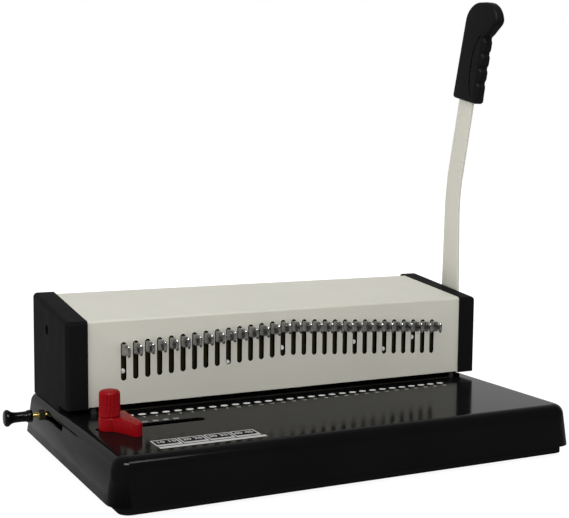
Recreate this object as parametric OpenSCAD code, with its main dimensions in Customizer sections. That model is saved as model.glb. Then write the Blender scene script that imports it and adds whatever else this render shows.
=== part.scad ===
// Manual loose-leaf punching and binding machine: a low base, a punch head with a row of
// pin selectors in chevron slots, and a long lever on the right.
// X runs to the right, Y to the back, Z up. Millimetres.

/* [Base] */
// How far the base's lower rim stands out beside the end caps
base_side = 6; // [5:0.5:14]
// Depth of the base at its lower rim
base_d = 232; // [215:1:260]
// Height of the base's top above the table
base_top = 39.6; // [37:0.1:46]
// Height of the shell's lower rim above the table
rim_z = 8; // [6.5:0.1:9]
// Wall of the base shell
base_wall = 2.5; // [2:0.1:2.8]
// Slope of the base's sides from upright, in degrees
base_draft = 8; // [4:0.5:10]
// Corner radius of the base in plan
base_corner = 14; // [11:0.5:20]
// Radius between the base's top and its sides
base_edge = 8; // [6:0.5:9]

/* [Bottom plate] */
// How far the bottom plate stands in from the rim at the sides
plate_in_x = 7; // [5:0.5:10]
// How far the bottom plate stands in from the rim at front and back
plate_in_y = 3.5; // [3.4:0.1:8]
// Thickness of the bottom plate's floor and wall
plate_t = 3; // [2.5:0.1:4]
// Height of the rubber feet
foot_h = 2; // [1:0.1:3]
// Diameter of the rubber feet
foot_d = 20; // [14:1:24]
// Diameter of the screws in the base
base_screw_d = 3.5; // [3:0.5:4]

/* [Hole row] */
// Number of punched holes
holes = 30; // [28:2:32]
// Distance between holes
pitch = 9.5; // [9:0.1:9.8]
// Hole line behind the cover's front face
pin_back = 12; // [11.5:0.1:13]
// Diameter of the punched hole
pin_d = 5.5; // [5:0.1:6]

/* [Cover] */
// Space on the base behind the cover
head_back = 17; // [14:0.5:24]
// Space between the base's top and the cover's lower edge
cover_gap = 5.4; // [5:0.1:7]
// Height of the cover's front face
panel_h = 64.7; // [63:0.1:70]
// Depth of the cover
cover_d = 89; // [86:1:95]
// How much higher the cover's back edge is than its front edge
cover_rise = 9.8; // [4:0.1:14]
// How far the cover reaches past the side frames
frame_inset = 3; // [2:0.1:5]
// Sheet thickness of the cover
sheet = 1.2; // [0.8:0.1:1.6]
// Outer radius of the cover's bends
bend_r = 2.5; // [2:0.1:4]
// Width of a selector slot
slot_w = 4.3; // [4.1:0.1:4.8]
// Length of a selector slot
slot_len = 29.2; // [29:0.1:30]
// Height of the end slots' feet above the cover's lower edge
slot_low = 18.1; // [17.5:0.1:18.6]
// Rise of the slot row in its middle
chevron = 8.7; // [4:0.1:9]

/* [End caps] */
// Width of an end cap
cap_w = 16.5; // [15:0.5:18]
// How far the caps stand in front of the cover
cap_proud = 1.6; // [1:0.1:2.5]
// How far the caps stand behind the cover
cap_tail = 5.8; // [2:0.1:7]
// How far the caps stand above the cover
cap_top = 0.3; // [0.2:0.1:2]
// Rounding of the caps' edges
cap_round = 3.5; // [2:0.5:4]
// Wall of the caps
cap_wall = 2.5; // [2:0.1:3]
// Depth of the paper throat's notch in the caps
cap_notch = 21; // [16:1:26]
// Diameter of the cap screws
cap_screw_d = 4; // [3:0.5:5]

/* [Punch] */
// Clear height of the paper throat
throat = 4.6; // [4.4:0.1:4.9]
// Downward travel of the pressure bar
travel = 17.5; // [15:0.1:17.8]
// Thickness of the die plate
die_t = 6; // [5:0.1:7]
// Depth of the die plate
die_d = 20; // [18:0.5:22]
// Height of the pin guide
guide_h = 12; // [11.5:0.1:12.2]
// Depth of the pin guide and of the pressure bar
bar_d = 14; // [13:0.1:14.5]
// Height of the pressure bar
bar_h = 30; // [30:0.1:31]
// Diameter of the guide rods
rod_d = 8; // [6:0.5:8.5]
// Space between the outermost pin and its guide rod
rod_gap = 2; // [1.5:0.1:4]
// Space between a guide rod and the side frame
frame_gap = 8; // [7:0.5:12]

/* [Pin selectors] */
// Thickness of a selector
tab_t = 2.4; // [2:0.1:2.6]
// Height of a selector
tab_h = 9.2; // [8.6:0.1:9.4]
// Space between a selector and the upper end of its slot
tab_drop = 1.6; // [1.5:0.1:2]
// How far a selector sits to the left of its slot's middle
tab_side = 0.55; // [0.3:0.05:0.6]
// How far a selector stands out of the cover
tab_out = 12.4; // [10:0.1:14]
// Height of a selector's waist
tab_waist = 4; // [3.2:0.1:6]
// Width of a selector's turned end
tab_turn = 2.8; // [2.6:0.1:3.4]
// Height of a selector's turned end
tab_lip = 7.3; // [6.4:0.1:9]
// How far a selector is pulled to release its pin
tab_pull = 7.5; // [7:0.1:8]

/* [Drive] */
// Shaft axis behind the cover's front face
shaft_back = 41.5; // [40.5:0.1:43]
// Shaft axis above the base's top
shaft_up = 37.4; // [36:0.1:39]
// Diameter of the drive shaft
shaft_d = 12; // [10:0.5:13]
// Teeth of a pinion
pinion_teeth = 20; // [20:1:21]
// Tooth size of pinions and racks
gear_module = 1.3; // [1.25:0.01:1.32]
// Width of pinions and racks
gear_w = 10; // [8:0.5:11]
// Thickness of the side frames
frame_t = 4; // [3:0.1:4.4]

/* [Lever] */
// Thickness of the lever
lever_t = 2.5; // [2:0.5:5]
// Width of the lever at its shaft
lever_foot_w = 26; // [24:0.5:32]
// Width of the lever below its bend
lever_mid_w = 20.6; // [17:0.1:22]
// Width of the lever under the grip
lever_tip_w = 20; // [16:0.5:22]
// Straight length from the shaft to the bend
lever_straight = 100; // [70:1:120]
// Radius of the lever's bend
lever_bend_r = 194; // [120:1:260]
// Forward bend of the lever, in degrees
lever_bend = 12.5; // [6:0.5:20]
// Straight length from the bend to the grip
lever_neck = 62; // [45:1:90]
// Length of the grip below the rear middle of its head
grip_len = 66; // [62:1:74]
// Radius of the grip's head
grip_head = 18.4; // [17:0.1:20]
// Forward reach of the head between its rear and front middle
head_run = 7.7; // [6:0.1:12]
// Rise of the head between its rear and front middle
head_rise = 0.7; // [0.5:0.1:6]
// Thickness of the grip
grip_t = 10.4; // [9:0.1:14]
// Depth of the grip behind the lever's middle line
grip_back = 14; // [12.5:0.1:16]
// Depth of the grip in front of the lever's middle line
grip_front = 17.6; // [15:0.1:18]
// Depth of the finger notches
groove = 1.2; // [0.6:0.1:1.4]
// Distance between the finger notches
groove_pitch = 12.6; // [11:0.1:13]

/* [Edge guide] */
// Distance of the guide's knob from the base's left side
edge_x = 24.3; // [23:0.1:40]
// Distance of the guide's slot in front of the cover
edge_front = 46; // [40:1:60]
// Length that the guide slides inwards
edge_travel = 68; // [40:1:90]
// Length that the guide slides outwards
edge_spare = 5; // [2:0.5:6]
// Width of the guide's slot
edge_slot = 9.5; // [8:0.1:10.5]
// Height of the guide's foot
edge_h = 9.5; // [7:0.5:13]
// Length of the guide's paper face
edge_len = 41; // [36:1:60]
// How far the guide's paper face reaches in front of its slot
edge_ahead = 28.8; // [20:0.1:34]
// Diameter of the guide's knob
knob_d = 15.2; // [13:0.1:17]
// Height of the guide's knob
knob_h = 19; // [14:0.1:24]

/* [Margin lever] */
// Height of the margin slot below the base's top
margin_down = 8.4; // [7.8:0.1:9]
// Margin lever at rest, behind the cover's front face
margin_back = 48.7; // [46:0.1:52]
// Forward travel of the margin lever
margin_fore = 46; // [30:1:47]
// Backward travel of the margin lever
margin_aft = 4; // [2:0.5:5]
// Diameter of the margin lever's stud
stud_d = 4.4; // [4:0.1:4.8]
// Length of the bare stud between nut and grip
stud_bare = 5.6; // [4:0.1:9]
// Length of the margin lever's grip
margin_grip_len = 22; // [16:0.5:28]

/* [Chip tray] */
// Depth of the chip tray from front to back
tray_d = 32; // [28:1:36]
// Wall of the chip tray
tray_wall = 1.6; // [1.2:0.1:2]
// Length that the chip tray pulls out
tray_pull = 200; // [120:5:240]

/* [Clearances] */
// Running clearance of pins, rods and shafts, on the radius
run = 0.05; // [0.03:0.01:0.08]
// Clearance beside flat sliding faces
slip = 0.15; // [0.1:0.05:0.25]
// Room around moving pieces that don't guide each other
room = 0.8; // [0.5:0.1:1]
// Play between the teeth of pinions and racks
backlash = 0.3; // [0.2:0.05:0.4]

/* [Hidden] */
$fn = 64;
// Cuts run past the faces that they open by this much
over = 1;

// Width: hole row, guide rods, side frames, cover, end caps, base, each outside the one before
row_half = (holes - 1) / 2 * pitch;
pin_r = pin_d / 2;
rod_x = row_half + pin_r + rod_gap + rod_d / 2;
frame_x = rod_x + rod_d / 2 + frame_gap;
cap_in = frame_x + frame_t + frame_inset;
cover_w = 2 * cap_in;
cap_out = cap_in + cap_w;

// Base levels and sides
half_w = cap_out + base_side;
half_d = base_d / 2;
panel_y = half_d - head_back - cover_d;
top_under = base_top - base_wall;
lean = tan(base_draft);
function side_in(z) = (z - rim_z) * lean;
function wall_x(z) = half_w - side_in(z);
function wall_y(z) = half_d - side_in(z);

// Bottom plate
plate_x = half_w - plate_in_x;
plate_y = half_d - plate_in_y;
plate_floor = foot_h + plate_t;
plate_rise = rim_z + 1.5;
plate_corner = base_corner - 6;
post_d = base_screw_d + 6;
post_x = plate_x - plate_t - post_d;
post_y = plate_y - plate_t - post_d / 2 - 1;
screw_head_h = 2;
screw_head_d = 2 * base_screw_d;
foot_x = post_x - post_d / 2 - foot_d / 2 - 6;
foot_y = post_y - 6;

// Hole row and cover
pin_y = panel_y + pin_back;
cover_z = base_top + cover_gap;
crease_z = cover_z + panel_h;
back_y = panel_y + cover_d;
back_z = crease_z + cover_rise;
cover_slope = atan(cover_rise / cover_d);
function hole_x(k) = (k - (holes - 1) / 2) * pitch;
function slot_foot(x) = cover_z + slot_low + chevron * (1 - abs(x) / row_half);
function tab_mid(x) = slot_foot(x) + slot_len - tab_drop - tab_h / 2;
function roof_z(y) = crease_z + (y - panel_y) * tan(cover_slope);

// Punch
die_low = base_top - die_t;
guide_low = base_top + throat;
guide_top = guide_low + guide_h;
bar_low = guide_top + travel + room;
bar_front = pin_y - bar_d / 2;
apron_t = 2;
apron_front = bar_front - apron_t;
apron_low = guide_low + travel + room;
bar_back = pin_y + bar_d / 2;
pin_foot = 0.8;
pin_crown = 2;
pin_len = tab_mid(row_half) + tab_h / 2 + pin_crown - guide_low - pin_foot;
function pin_tip(x) = guide_low + pin_foot + tab_mid(x) - tab_mid(row_half);
tab_in = pin_y + pin_r + 0.8;

// Frames, drive and caps
bar_gap = 4;
bar_half = frame_x - bar_gap;
rod_seat = 3;
rod_top = bar_low + bar_h + 1;
rack_x = bar_half - gear_w / 2 - 2;
shaft_y = panel_y + shaft_back;
shaft_z = base_top + shaft_up;
shaft_r = shaft_d / 2;
pitch_r = gear_module * pinion_teeth / 2;
rack_line = shaft_y - pitch_r;
rack_root = rack_line - 1.25 * gear_module;
tooth_gap = PI * gear_module;
swing = travel / pitch_r * 180 / PI;
cap_front = panel_y - cap_proud;
cap_rear = back_y + cap_tail;
bush_wall = 2.5;
flange_w = 11;
flange_h = 3;
flange_y0 = shaft_y - 4;
flange_y1 = back_y - 11;
frame_screw_d = 4;
end_head_d = frame_screw_d + 1.6;
cap_screw_y = shaft_y + 10;
cap_screw_z = base_top + 57;
cap_sink = 10;
cap_head_h = 2.6;
tie_d = 8;
tie_y = shaft_y + 30;
tie_z = shaft_z + 18;

// Hub of a pinion, then the return spring and its collar on the shaft
hub_len = 5;
spring_gap = 7;
spring_len = 22;
spring_wire = 2.4;
spring_x = rack_x - gear_w / 2 - hub_len - spring_gap - spring_len;
collar_gap = 1;
collar_w = 10;

// Lever
washer_t = 1.25;
washer_gap = 0.75;
lever_in = cap_out + washer_gap + washer_t;
lever_mid = lever_in + lever_t / 2;
lever_out = lever_in + lever_t;
bolt_head_h = 5;
bolt_head_d = 16;
bolt_flange = 1.5;
bolt_reach = 15;
bolt_room = 3;
bend_len = lever_bend_r * lever_bend * PI / 180;
lever_len = lever_straight + bend_len + lever_neck;
tang_end = 12;
tang_len = grip_len - tang_end;

// Edge guide
guide_x = -half_w + edge_x;
guide_y = panel_y - edge_front;
stop_face = 15.2;
toe_r = 4;
stop_wide = 8;
hub_r = knob_d / 2 + 0.2;
guide_stud_d = 0.38 * knob_d;
guide_key_d = edge_slot - 2 * slip - 0.3;
slot_back = 1.2;
knob_low = base_top + edge_h + slip;

// Margin lever
margin_z = base_top - margin_down;
margin_y = panel_y + margin_back;
nut_t = 4;
nut_d = stud_d + 4;
nut_off = slip + nut_d / 2 * lean;
stud_in = 0.7;
stop_t = 3;
stop_low = base_top + 0.4;
stop_d = 12;
stop_front = pin_y + pin_r + 3.2;
stop_y = stop_front + margin_fore;
arm_t = 3;
wall_reach = 16;
arm_x0 = -wall_x(margin_z) + wall_reach - 4;
arm_x1 = -rod_x + 1;
arm_tab = 5;

// Chip tray
tray_low = plate_floor + 0.4;
tray_high = guide_low + pin_foot - travel - 2;
tray_half = bar_half - 2;
tray_front = wall_x(tray_high) - 0.6;
tray_face_t = 3;

// Points on an arc from angle a to angle b
function arc(c, r, a, b, n = 8) = [for (i = [0:n]) let (t = a + (b - a) * i / n) c + r * [cos(t), sin(t)]];

// Rounded plate, w by d, with corner radius r
module rounded_plate(w, d, r, h) {
    linear_extrude(h) hull() for (sx = [-1, 1], sy = [-1, 1])
        translate([sx * (w / 2 - r), sy * (d / 2 - r)]) circle(r, $fn = 32);
}

// The base's body: four revolved corners joined; inset draws it in by the wall where it is hollow
module base_body(inset, low) {
    roof = base_top - inset;
    bend = max(base_edge - inset, 2);
    turn = 90 - base_draft;
    roof_r = max(base_corner - inset - side_in(roof) - bend * tan(turn / 2), 0.5);
    low_r = base_corner - inset - side_in(low);
    rim_arc = arc([roof_r, roof - bend], bend, 90 - turn, 90, 6);
    hull() for (sx = [-1, 1], sy = [-1, 1])
        translate([sx * (half_w - base_corner), sy * (half_d - base_corner), 0])
            rotate_extrude($fn = 48) polygon(concat([[0, low], [low_r, low]], rim_arc, [[0, roof]]));
}

module base_shell() {
    color([0.05, 0.05, 0.055]) difference() {
        union() {
            difference() {
                base_body(0, rim_z);
                base_body(base_wall, rim_z - over);
            }
            for (sx = [-1, 1], sy = [-1, 1])
                translate([sx * post_x, sy * post_y, plate_floor])
                    cylinder(d = post_d, h = top_under - plate_floor + 0.5);
        }
        for (sx = [-1, 1], sy = [-1, 1])
            translate([sx * post_x, sy * post_y, plate_floor - over])
                cylinder(d = base_screw_d + 2 * run, h = 14 + over, $fn = 32);
        // Window for the die and the legs of the side frames
        translate([-frame_x - frame_t - slip, pin_y - die_d / 2 - slip, top_under - over])
            cube([2 * (frame_x + frame_t + slip), die_d + 2 * slip, base_wall + 2 * over]);
        // Way of the depth stop's arm
        translate([arm_x1 - arm_tab - room, pin_y, top_under - over])
            cube([arm_tab + 2 * room, stop_y + stop_d + margin_aft + room - pin_y, base_wall + 2 * over]);
        // Slot of the edge guide
        translate([guide_x - edge_spare, guide_y + slot_back, 0])
            long_slot(edge_spare + edge_travel, edge_slot, top_under - over, base_wall + 2 * over);
        // Slot of the margin lever in the left side
        margin_axis() rotate([0, 0, 90]) translate([-margin_fore, 0, -2 * base_wall])
            long_slot(margin_fore + margin_aft, stud_d + 2 * slip, 0, 4 * base_wall);
        // Mouth of the chip tray
        translate([half_w / 2, pin_y - tray_d / 2 - 2 * slip, tray_low - 2 * slip])
            cube([half_w, tray_d + 4 * slip, tray_high - tray_low + 4 * slip]);
        for (p = flange_screws()) translate([p[0], p[1], top_under - over])
            cylinder(d = frame_screw_d + 2 * run, h = base_wall + 2 * over, $fn = 32);
    }
}

// Slot along X that a stud of the given width slides in, from its own place to x = run_len
module long_slot(run_len, width, low, h) {
    translate([0, -width / 2, low]) cube([run_len, width, h]);
    for (x = [0, run_len]) translate([x, 0, low]) cylinder(d = width, h = h, $fn = 32);
}

module bottom_plate() {
    color([0.09, 0.09, 0.095]) difference() {
        translate([0, 0, foot_h])
            rounded_plate(2 * plate_x, 2 * plate_y, plate_corner, plate_rise - foot_h);
        translate([0, 0, plate_floor]) rounded_plate(2 * (plate_x - plate_t), 2 * (plate_y - plate_t),
            plate_corner - plate_t, plate_rise);
        for (sx = [-1, 1], sy = [-1, 1]) translate([sx * post_x, sy * post_y, 0]) {
            cylinder(d = base_screw_d + 2 * run, h = plate_floor + over, $fn = 32);
            cylinder(d = screw_head_d + 2 * slip, h = foot_h + screw_head_h, $fn = 32);
        }
        // The chip tray leaves over the right wall
        translate([plate_x - 2 * plate_t, pin_y - tray_d / 2 - room, plate_floor])
            cube([3 * plate_t, tray_d + 2 * room, plate_rise]);
    }
}

module rubber_feet() {
    color([0.12, 0.12, 0.12]) for (sx = [-1, 1], sy = [-1, 1])
        translate([sx * foot_x, sy * foot_y, 0]) cylinder(d1 = foot_d - 2, d2 = foot_d, h = foot_h);
}

module base_screws() {
    color([0.7, 0.7, 0.72]) for (sx = [-1, 1], sy = [-1, 1]) translate([sx * post_x, sy * post_y, foot_h]) {
        cylinder(d = screw_head_d, h = screw_head_h, $fn = 32);
        cylinder(d = base_screw_d, h = plate_t + 12, $fn = 32);
    }
}

// Side view of a cap's hollow or body: inset moves every edge inwards
module cap_outline(inset) {
    polygon([[cap_front + inset, base_top], [cap_front + inset, roof_z(cap_front) + cap_top - inset],
        [cap_rear - inset, roof_z(cap_rear) + cap_top - inset], [cap_rear - inset, base_top]]);
}

// End cap on the right; the left one is its mirror image
module end_cap() {
    corners = [[cap_front, base_top, 0], [cap_front, roof_z(cap_front) + cap_top, 1],
        [cap_rear, roof_z(cap_rear) + cap_top, 1], [cap_rear, base_top, 0]];
    difference() {
        hull() for (c = corners) {
            y = c[0] + (c[0] < shaft_y ? cap_round : -cap_round);
            z = c[1] - c[2] * cap_round;
            translate([cap_in, y, z]) rotate([0, 90, 0]) rotate_extrude($fn = 32) polygon(
                concat([[0, 0], [cap_round, 0]], arc([0, cap_w - cap_round], cap_round, 0, 90, 6)));
        }
        translate([cap_in - over, cap_front - over, base_top - 2 * cap_round])
            cube([cap_w + 2 * over, cap_rear - cap_front + 2 * over, 2 * cap_round]);
        translate([cap_in - over, cap_front - over, base_top - over])
            cube([cap_w + 2 * over, cap_notch + over, throat + over]);
        difference() {
            translate([cap_in - over, 0, 0]) rotate([90, 0, 90]) linear_extrude(cap_w - cap_wall + over)
                cap_outline(cap_wall);
            translate([cap_in - 2 * over, cap_front, base_top - over])
                cube([cap_w + over, cap_notch + cap_wall, throat + cap_wall + over]);
            translate([cap_in - 3, cap_screw_y, cap_screw_z]) rotate([0, 90, 0])
                cylinder(d = 3 * cap_screw_d, h = cap_w + 3);
        }
        translate([cap_out - cap_sink, cap_screw_y, cap_screw_z]) rotate([0, 90, 0]) {
            translate([0, 0, -cap_w]) cylinder(d = cap_screw_d + 2 * run, h = cap_w + over, $fn = 32);
            cylinder(d = 2 * cap_screw_d, h = cap_sink + over, $fn = 32);
        }
    }
    difference() {
        translate([frame_x + frame_t, cap_screw_y, cap_screw_z]) rotate([0, 90, 0])
            cylinder(d = 3 * cap_screw_d, h = cap_in - frame_x - frame_t);
        translate([frame_x, cap_screw_y, cap_screw_z]) rotate([0, 90, 0])
            cylinder(d = cap_screw_d + 2 * run, h = cap_w, $fn = 32);
    }
}

module left_end_cap() {
    color([0.07, 0.07, 0.075]) mirror([1, 0, 0]) end_cap();
}

module right_end_cap() {
    color([0.07, 0.07, 0.075]) difference() {
        end_cap();
        translate([cap_in, shaft_y, shaft_z]) rotate([0, 90, 0])
            cylinder(r = shaft_r + room, h = cap_w + over);
    }
}

module cap_screws() {
    seat = cap_out - cap_sink;
    color([0.3, 0.3, 0.31]) for (sx = [-1, 1]) translate([sx * seat, cap_screw_y, cap_screw_z])
        rotate([0, sx * 90, 0]) {
            cylinder(d = 2 * cap_screw_d - 0.6, h = cap_head_h, $fn = 32);
            translate([0, 0, frame_x + 0.5 - seat]) cylinder(d = cap_screw_d, h = seat - frame_x, $fn = 32);
        }
}

// Bent sheet seen from the side, from the front face's lower edge over the roof to the back
module cover_profile() {
    a = cover_slope;
    r = bend_r;
    q = bend_r - sheet;
    front = [panel_y + r, crease_z - r * (1 - sin(a)) / cos(a)];
    rear = [back_y - r, back_z - r * (1 + sin(a)) / cos(a)];
    polygon(concat([[panel_y, cover_z]], arc(front, r, 180, 90 + a), arc(rear, r, 90 + a, 0),
        [[back_y, base_top], [back_y - sheet, base_top]], arc(rear, q, 0, 90 + a),
        arc(front, q, 90 + a, 180), [[panel_y + sheet, cover_z]]));
}

module punch_cover() {
    color([0.82, 0.81, 0.77]) difference() {
        translate([-cover_w / 2, 0, 0]) rotate([90, 0, 90]) linear_extrude(cover_w) cover_profile();
        for (k = [0:holes - 1]) translate([hole_x(k), panel_y - over, slot_foot(hole_x(k))]) {
            translate([-slot_w / 2, 0, slot_w / 2]) cube([slot_w, sheet + 2 * over, slot_len - slot_w]);
            for (z = [slot_w / 2, slot_len - slot_w / 2]) translate([0, 0, z]) rotate([-90, 0, 0])
                cylinder(d = slot_w, h = sheet + 2 * over, $fn = 24);
        }
    }
}

// Places of the screws that hold the frames' flanges to the base
function flange_screws() = [for (sx = [-1, 1], y = [flange_y0 + 7, flange_y1 - 7])
    [sx * (frame_x + frame_t + flange_w / 2), y]];

// Side frame on the right; the left one is its mirror image
module side_frame() {
    front = panel_y + sheet + 1.5;
    rear = back_y - sheet - 3;
    difference() {
        union() {
            translate([frame_x, 0, 0]) rotate([90, 0, 90]) linear_extrude(frame_t) polygon([
                [front, guide_low], [front, roof_z(front) - sheet - 4], [rear, roof_z(rear) - sheet - 4],
                [rear, base_top], [pin_y + die_d / 2, base_top], [pin_y + die_d / 2, die_low],
                [pin_y - die_d / 2, die_low], [pin_y - die_d / 2, guide_low]]);
            translate([frame_x, flange_y0, base_top])
                cube([frame_t + flange_w, flange_y1 - flange_y0, flange_h]);
        }
        translate([frame_x - over, shaft_y, shaft_z]) rotate([0, 90, 0])
            cylinder(r = shaft_r + bush_wall + run, h = frame_t + 2 * over);
        translate([frame_x - over, cap_screw_y, cap_screw_z]) rotate([0, 90, 0])
            cylinder(d = cap_screw_d + 2 * run, h = frame_t + 2 * over, $fn = 32);
        for (p = end_screws()) translate([frame_x + frame_t / 2, p[0], p[1]]) rotate([0, 90, 0]) {
            cylinder(d = end_head_d + 2 * run, h = frame_t, $fn = 32);
            translate([0, 0, -frame_t]) cylinder(d = frame_screw_d + 2 * run, h = 2 * frame_t, $fn = 32);
        }
        for (p = flange_screws()) translate([p[0], p[1], base_top - over])
            cylinder(d = frame_screw_d + 2 * run, h = flange_h + 2 * over, $fn = 32);
    }
}

// Screws through a frame into the ends of the die, the pin guide and the tie rod
function end_screws() = [[pin_y, die_low + die_t / 2], [pin_y, guide_low + guide_h / 2], [tie_y, tie_z]];

module left_side_frame() {
    color([0.45, 0.45, 0.47]) mirror([1, 0, 0]) side_frame();
}

module right_side_frame() {
    color([0.45, 0.45, 0.47]) side_frame();
}

module frame_screws() {
    head = 2.4;
    grip_depth = 10;
    color([0.6, 0.6, 0.62]) {
        for (sx = [-1, 1], p = end_screws())
            translate([sx * (frame_x + frame_t / 2), p[0], p[1]]) rotate([0, sx * 90, 0]) {
                cylinder(d = end_head_d, h = frame_t / 2, $fn = 32);
                translate([0, 0, -grip_depth]) cylinder(d = frame_screw_d, h = grip_depth + 1, $fn = 32);
            }
        for (p = flange_screws()) translate([p[0], p[1], base_top + flange_h]) {
            cylinder(d = frame_screw_d + 3, h = head, $fn = 32);
            translate([0, 0, -flange_h - base_wall])
                cylinder(d = frame_screw_d, h = flange_h + base_wall + 1, $fn = 32);
        }
    }
}

// Screw hole in the end of a piece that spans the two frames
module end_bores(p) {
    for (sx = [-1, 1]) translate([sx * (frame_x + over), p[0], p[1]]) rotate([0, -sx * 90, 0])
        cylinder(d = frame_screw_d + 2 * run, h = 11, $fn = 32);
}

module tie_rod() {
    color([0.6, 0.6, 0.62]) difference() {
        translate([-frame_x, tie_y, tie_z]) rotate([0, 90, 0])
            cylinder(d = tie_d, h = 2 * frame_x, $fn = 32);
        end_bores(end_screws()[2]);
    }
}

// Flanged bush of the drive shaft in the right frame
module shaft_bush() {
    translate([frame_x, shaft_y, shaft_z]) rotate([0, 90, 0]) difference() {
        union() {
            cylinder(r = shaft_r + bush_wall, h = frame_t);
            translate([0, 0, -1.5]) cylinder(r = shaft_r + bush_wall + 2, h = 1.5);
        }
        translate([0, 0, -2 * over]) cylinder(r = shaft_r + run, h = frame_t + 3 * over);
    }
}

module left_shaft_bush() {
    color([0.72, 0.55, 0.25]) mirror([1, 0, 0]) shaft_bush();
}

module right_shaft_bush() {
    color([0.72, 0.55, 0.25]) shaft_bush();
}

module die_plate() {
    color([0.35, 0.35, 0.37]) difference() {
        translate([-frame_x, pin_y - die_d / 2, die_low]) cube([2 * frame_x, die_d, die_t]);
        for (k = [0:holes - 1]) translate([hole_x(k), pin_y, die_low - over])
            cylinder(r = pin_r + run, h = die_t + 2 * over, $fn = 32);
        end_bores(end_screws()[0]);
    }
}

module pin_guide() {
    depth = bar_d - 0.6;
    color([0.2, 0.2, 0.21]) difference() {
        translate([-frame_x, pin_y - depth / 2, guide_low]) cube([2 * frame_x, depth, guide_h]);
        for (k = [0:holes - 1]) translate([hole_x(k), pin_y, guide_low - over])
            cylinder(r = pin_r + run, h = guide_h + 2 * over, $fn = 32);
        for (sx = [-1, 1]) translate([sx * rod_x, pin_y, guide_low + rod_seat])
            cylinder(d = rod_d, h = guide_h, $fn = 32);
        end_bores(end_screws()[1]);
    }
}

module guide_rods() {
    color([0.75, 0.75, 0.77]) for (sx = [-1, 1]) translate([sx * rod_x, pin_y, guide_low + rod_seat])
        cylinder(d = rod_d, h = rod_top - guide_low - rod_seat, $fn = 32);
}

module drive_shaft() {
    tail = frame_x + frame_t + 2;
    color([0.68, 0.68, 0.7]) translate([-tail, shaft_y, shaft_z]) rotate([0, 90, 0]) difference() {
        cylinder(d = shaft_d, h = tail + lever_out);
        translate([0, 0, tail + lever_out - bolt_reach - bolt_room])
            cylinder(d = shaft_d / 2, h = bolt_reach + bolt_room + over, $fn = 32);
    }
}

// Flank of a tooth: the involute of the base circle, at radius r, half the tooth's angle
base_r = pitch_r * cos(20);
function inv(a) = tan(a) * 180 / PI - a;
function half_tooth(r) = (PI * gear_module / 2 - backlash / 2) / (2 * pitch_r) * 180 / PI
    + inv(20) - inv(acos(min(base_r / r, 1)));
tooth_radii = [pitch_r - 1.25 * gear_module, base_r, pitch_r - 0.2 * gear_module,
    pitch_r + 0.35 * gear_module, pitch_r + 0.95 * gear_module];
function flank(side, list) = [for (r = list) let (a = side * half_tooth(r)) r * [cos(a), sin(a)]];
tip_first = [for (i = [len(tooth_radii) - 1:-1:0]) tooth_radii[i]];
function turned(p, a) = [p[0] * cos(a) - p[1] * sin(a), p[0] * sin(a) + p[1] * cos(a)];
function tooth_at(a) = [for (p = concat(flank(-1, tooth_radii), flank(1, tip_first))) turned(p, a)];
function pinion_outline() = [for (i = [0:pinion_teeth - 1]) each tooth_at(180 + i * 360 / pinion_teeth)];

module drive_pinions() {
    color([0.5, 0.5, 0.52]) for (sx = [-1, 1]) translate([sx * rack_x - gear_w / 2, shaft_y, shaft_z])
        rotate([90, 0, 90]) difference() {
            union() {
                linear_extrude(gear_w) polygon(pinion_outline());
                translate([0, 0, sx > 0 ? -hub_len : gear_w]) cylinder(r = shaft_r + 3, h = hub_len);
            }
            translate([0, 0, -hub_len - over]) cylinder(r = shaft_r, h = gear_w + 2 * hub_len + 2 * over);
        }
}

// Rack teeth mesh with the pinion: a gap of the rack faces the pinion's foremost tooth
function rack_outline() = let (n = floor((travel + 4 * tooth_gap) / tooth_gap), tip = 0.95 * gear_module,
    half = tooth_gap / 4 - backlash / 4, low = shaft_z - 2 * tooth_gap) concat(
    [[bar_back, low]], [for (i = [0:n - 1]) let (z = low + (i + 0.5) * tooth_gap) each [
        [rack_root, z - half - 1.25 * gear_module * tan(20)], [rack_line + tip, z - half + tip * tan(20)],
        [rack_line + tip, z + half - tip * tan(20)], [rack_root, z + half + 1.25 * gear_module * tan(20)]]],
    [[bar_back, low + n * tooth_gap]]);

module drive_racks() {
    color([0.5, 0.5, 0.52]) for (sx = [-1, 1]) translate([sx * rack_x - gear_w / 2, 0, 0])
        rotate([90, 0, 90]) linear_extrude(gear_w) polygon(rack_outline());
}

module shaft_collar() {
    start = spring_x - collar_gap - collar_w;
    color([0.4, 0.4, 0.42]) translate([start, shaft_y, shaft_z]) rotate([0, 90, 0]) difference() {
        cylinder(r = shaft_r + 5, h = collar_w);
        translate([0, 0, -over]) cylinder(r = shaft_r, h = collar_w + 2 * over);
    }
}

module return_spring() {
    coil = spring_wire;
    leg_x = spring_x + spring_len - coil;
    leg_y = shaft_y + shaft_r + room + coil / 2;
    leg_z = tie_z + tie_d / 2 + coil / 2;
    color([0.62, 0.62, 0.64]) {
        translate([spring_x, shaft_y, shaft_z]) rotate([0, 90, 0]) difference() {
            cylinder(r = shaft_r + room + coil, h = spring_len);
            translate([0, 0, -over]) cylinder(r = shaft_r + room, h = spring_len + 2 * over);
        }
        translate([leg_x, leg_y, shaft_z]) cylinder(d = coil, h = leg_z - shaft_z, $fn = 16);
        translate([leg_x, leg_y, leg_z]) rotate([-90, 0, 0])
            cylinder(d = coil, h = tie_y + tie_d / 2 - leg_y, $fn = 16);
    }
}

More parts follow.
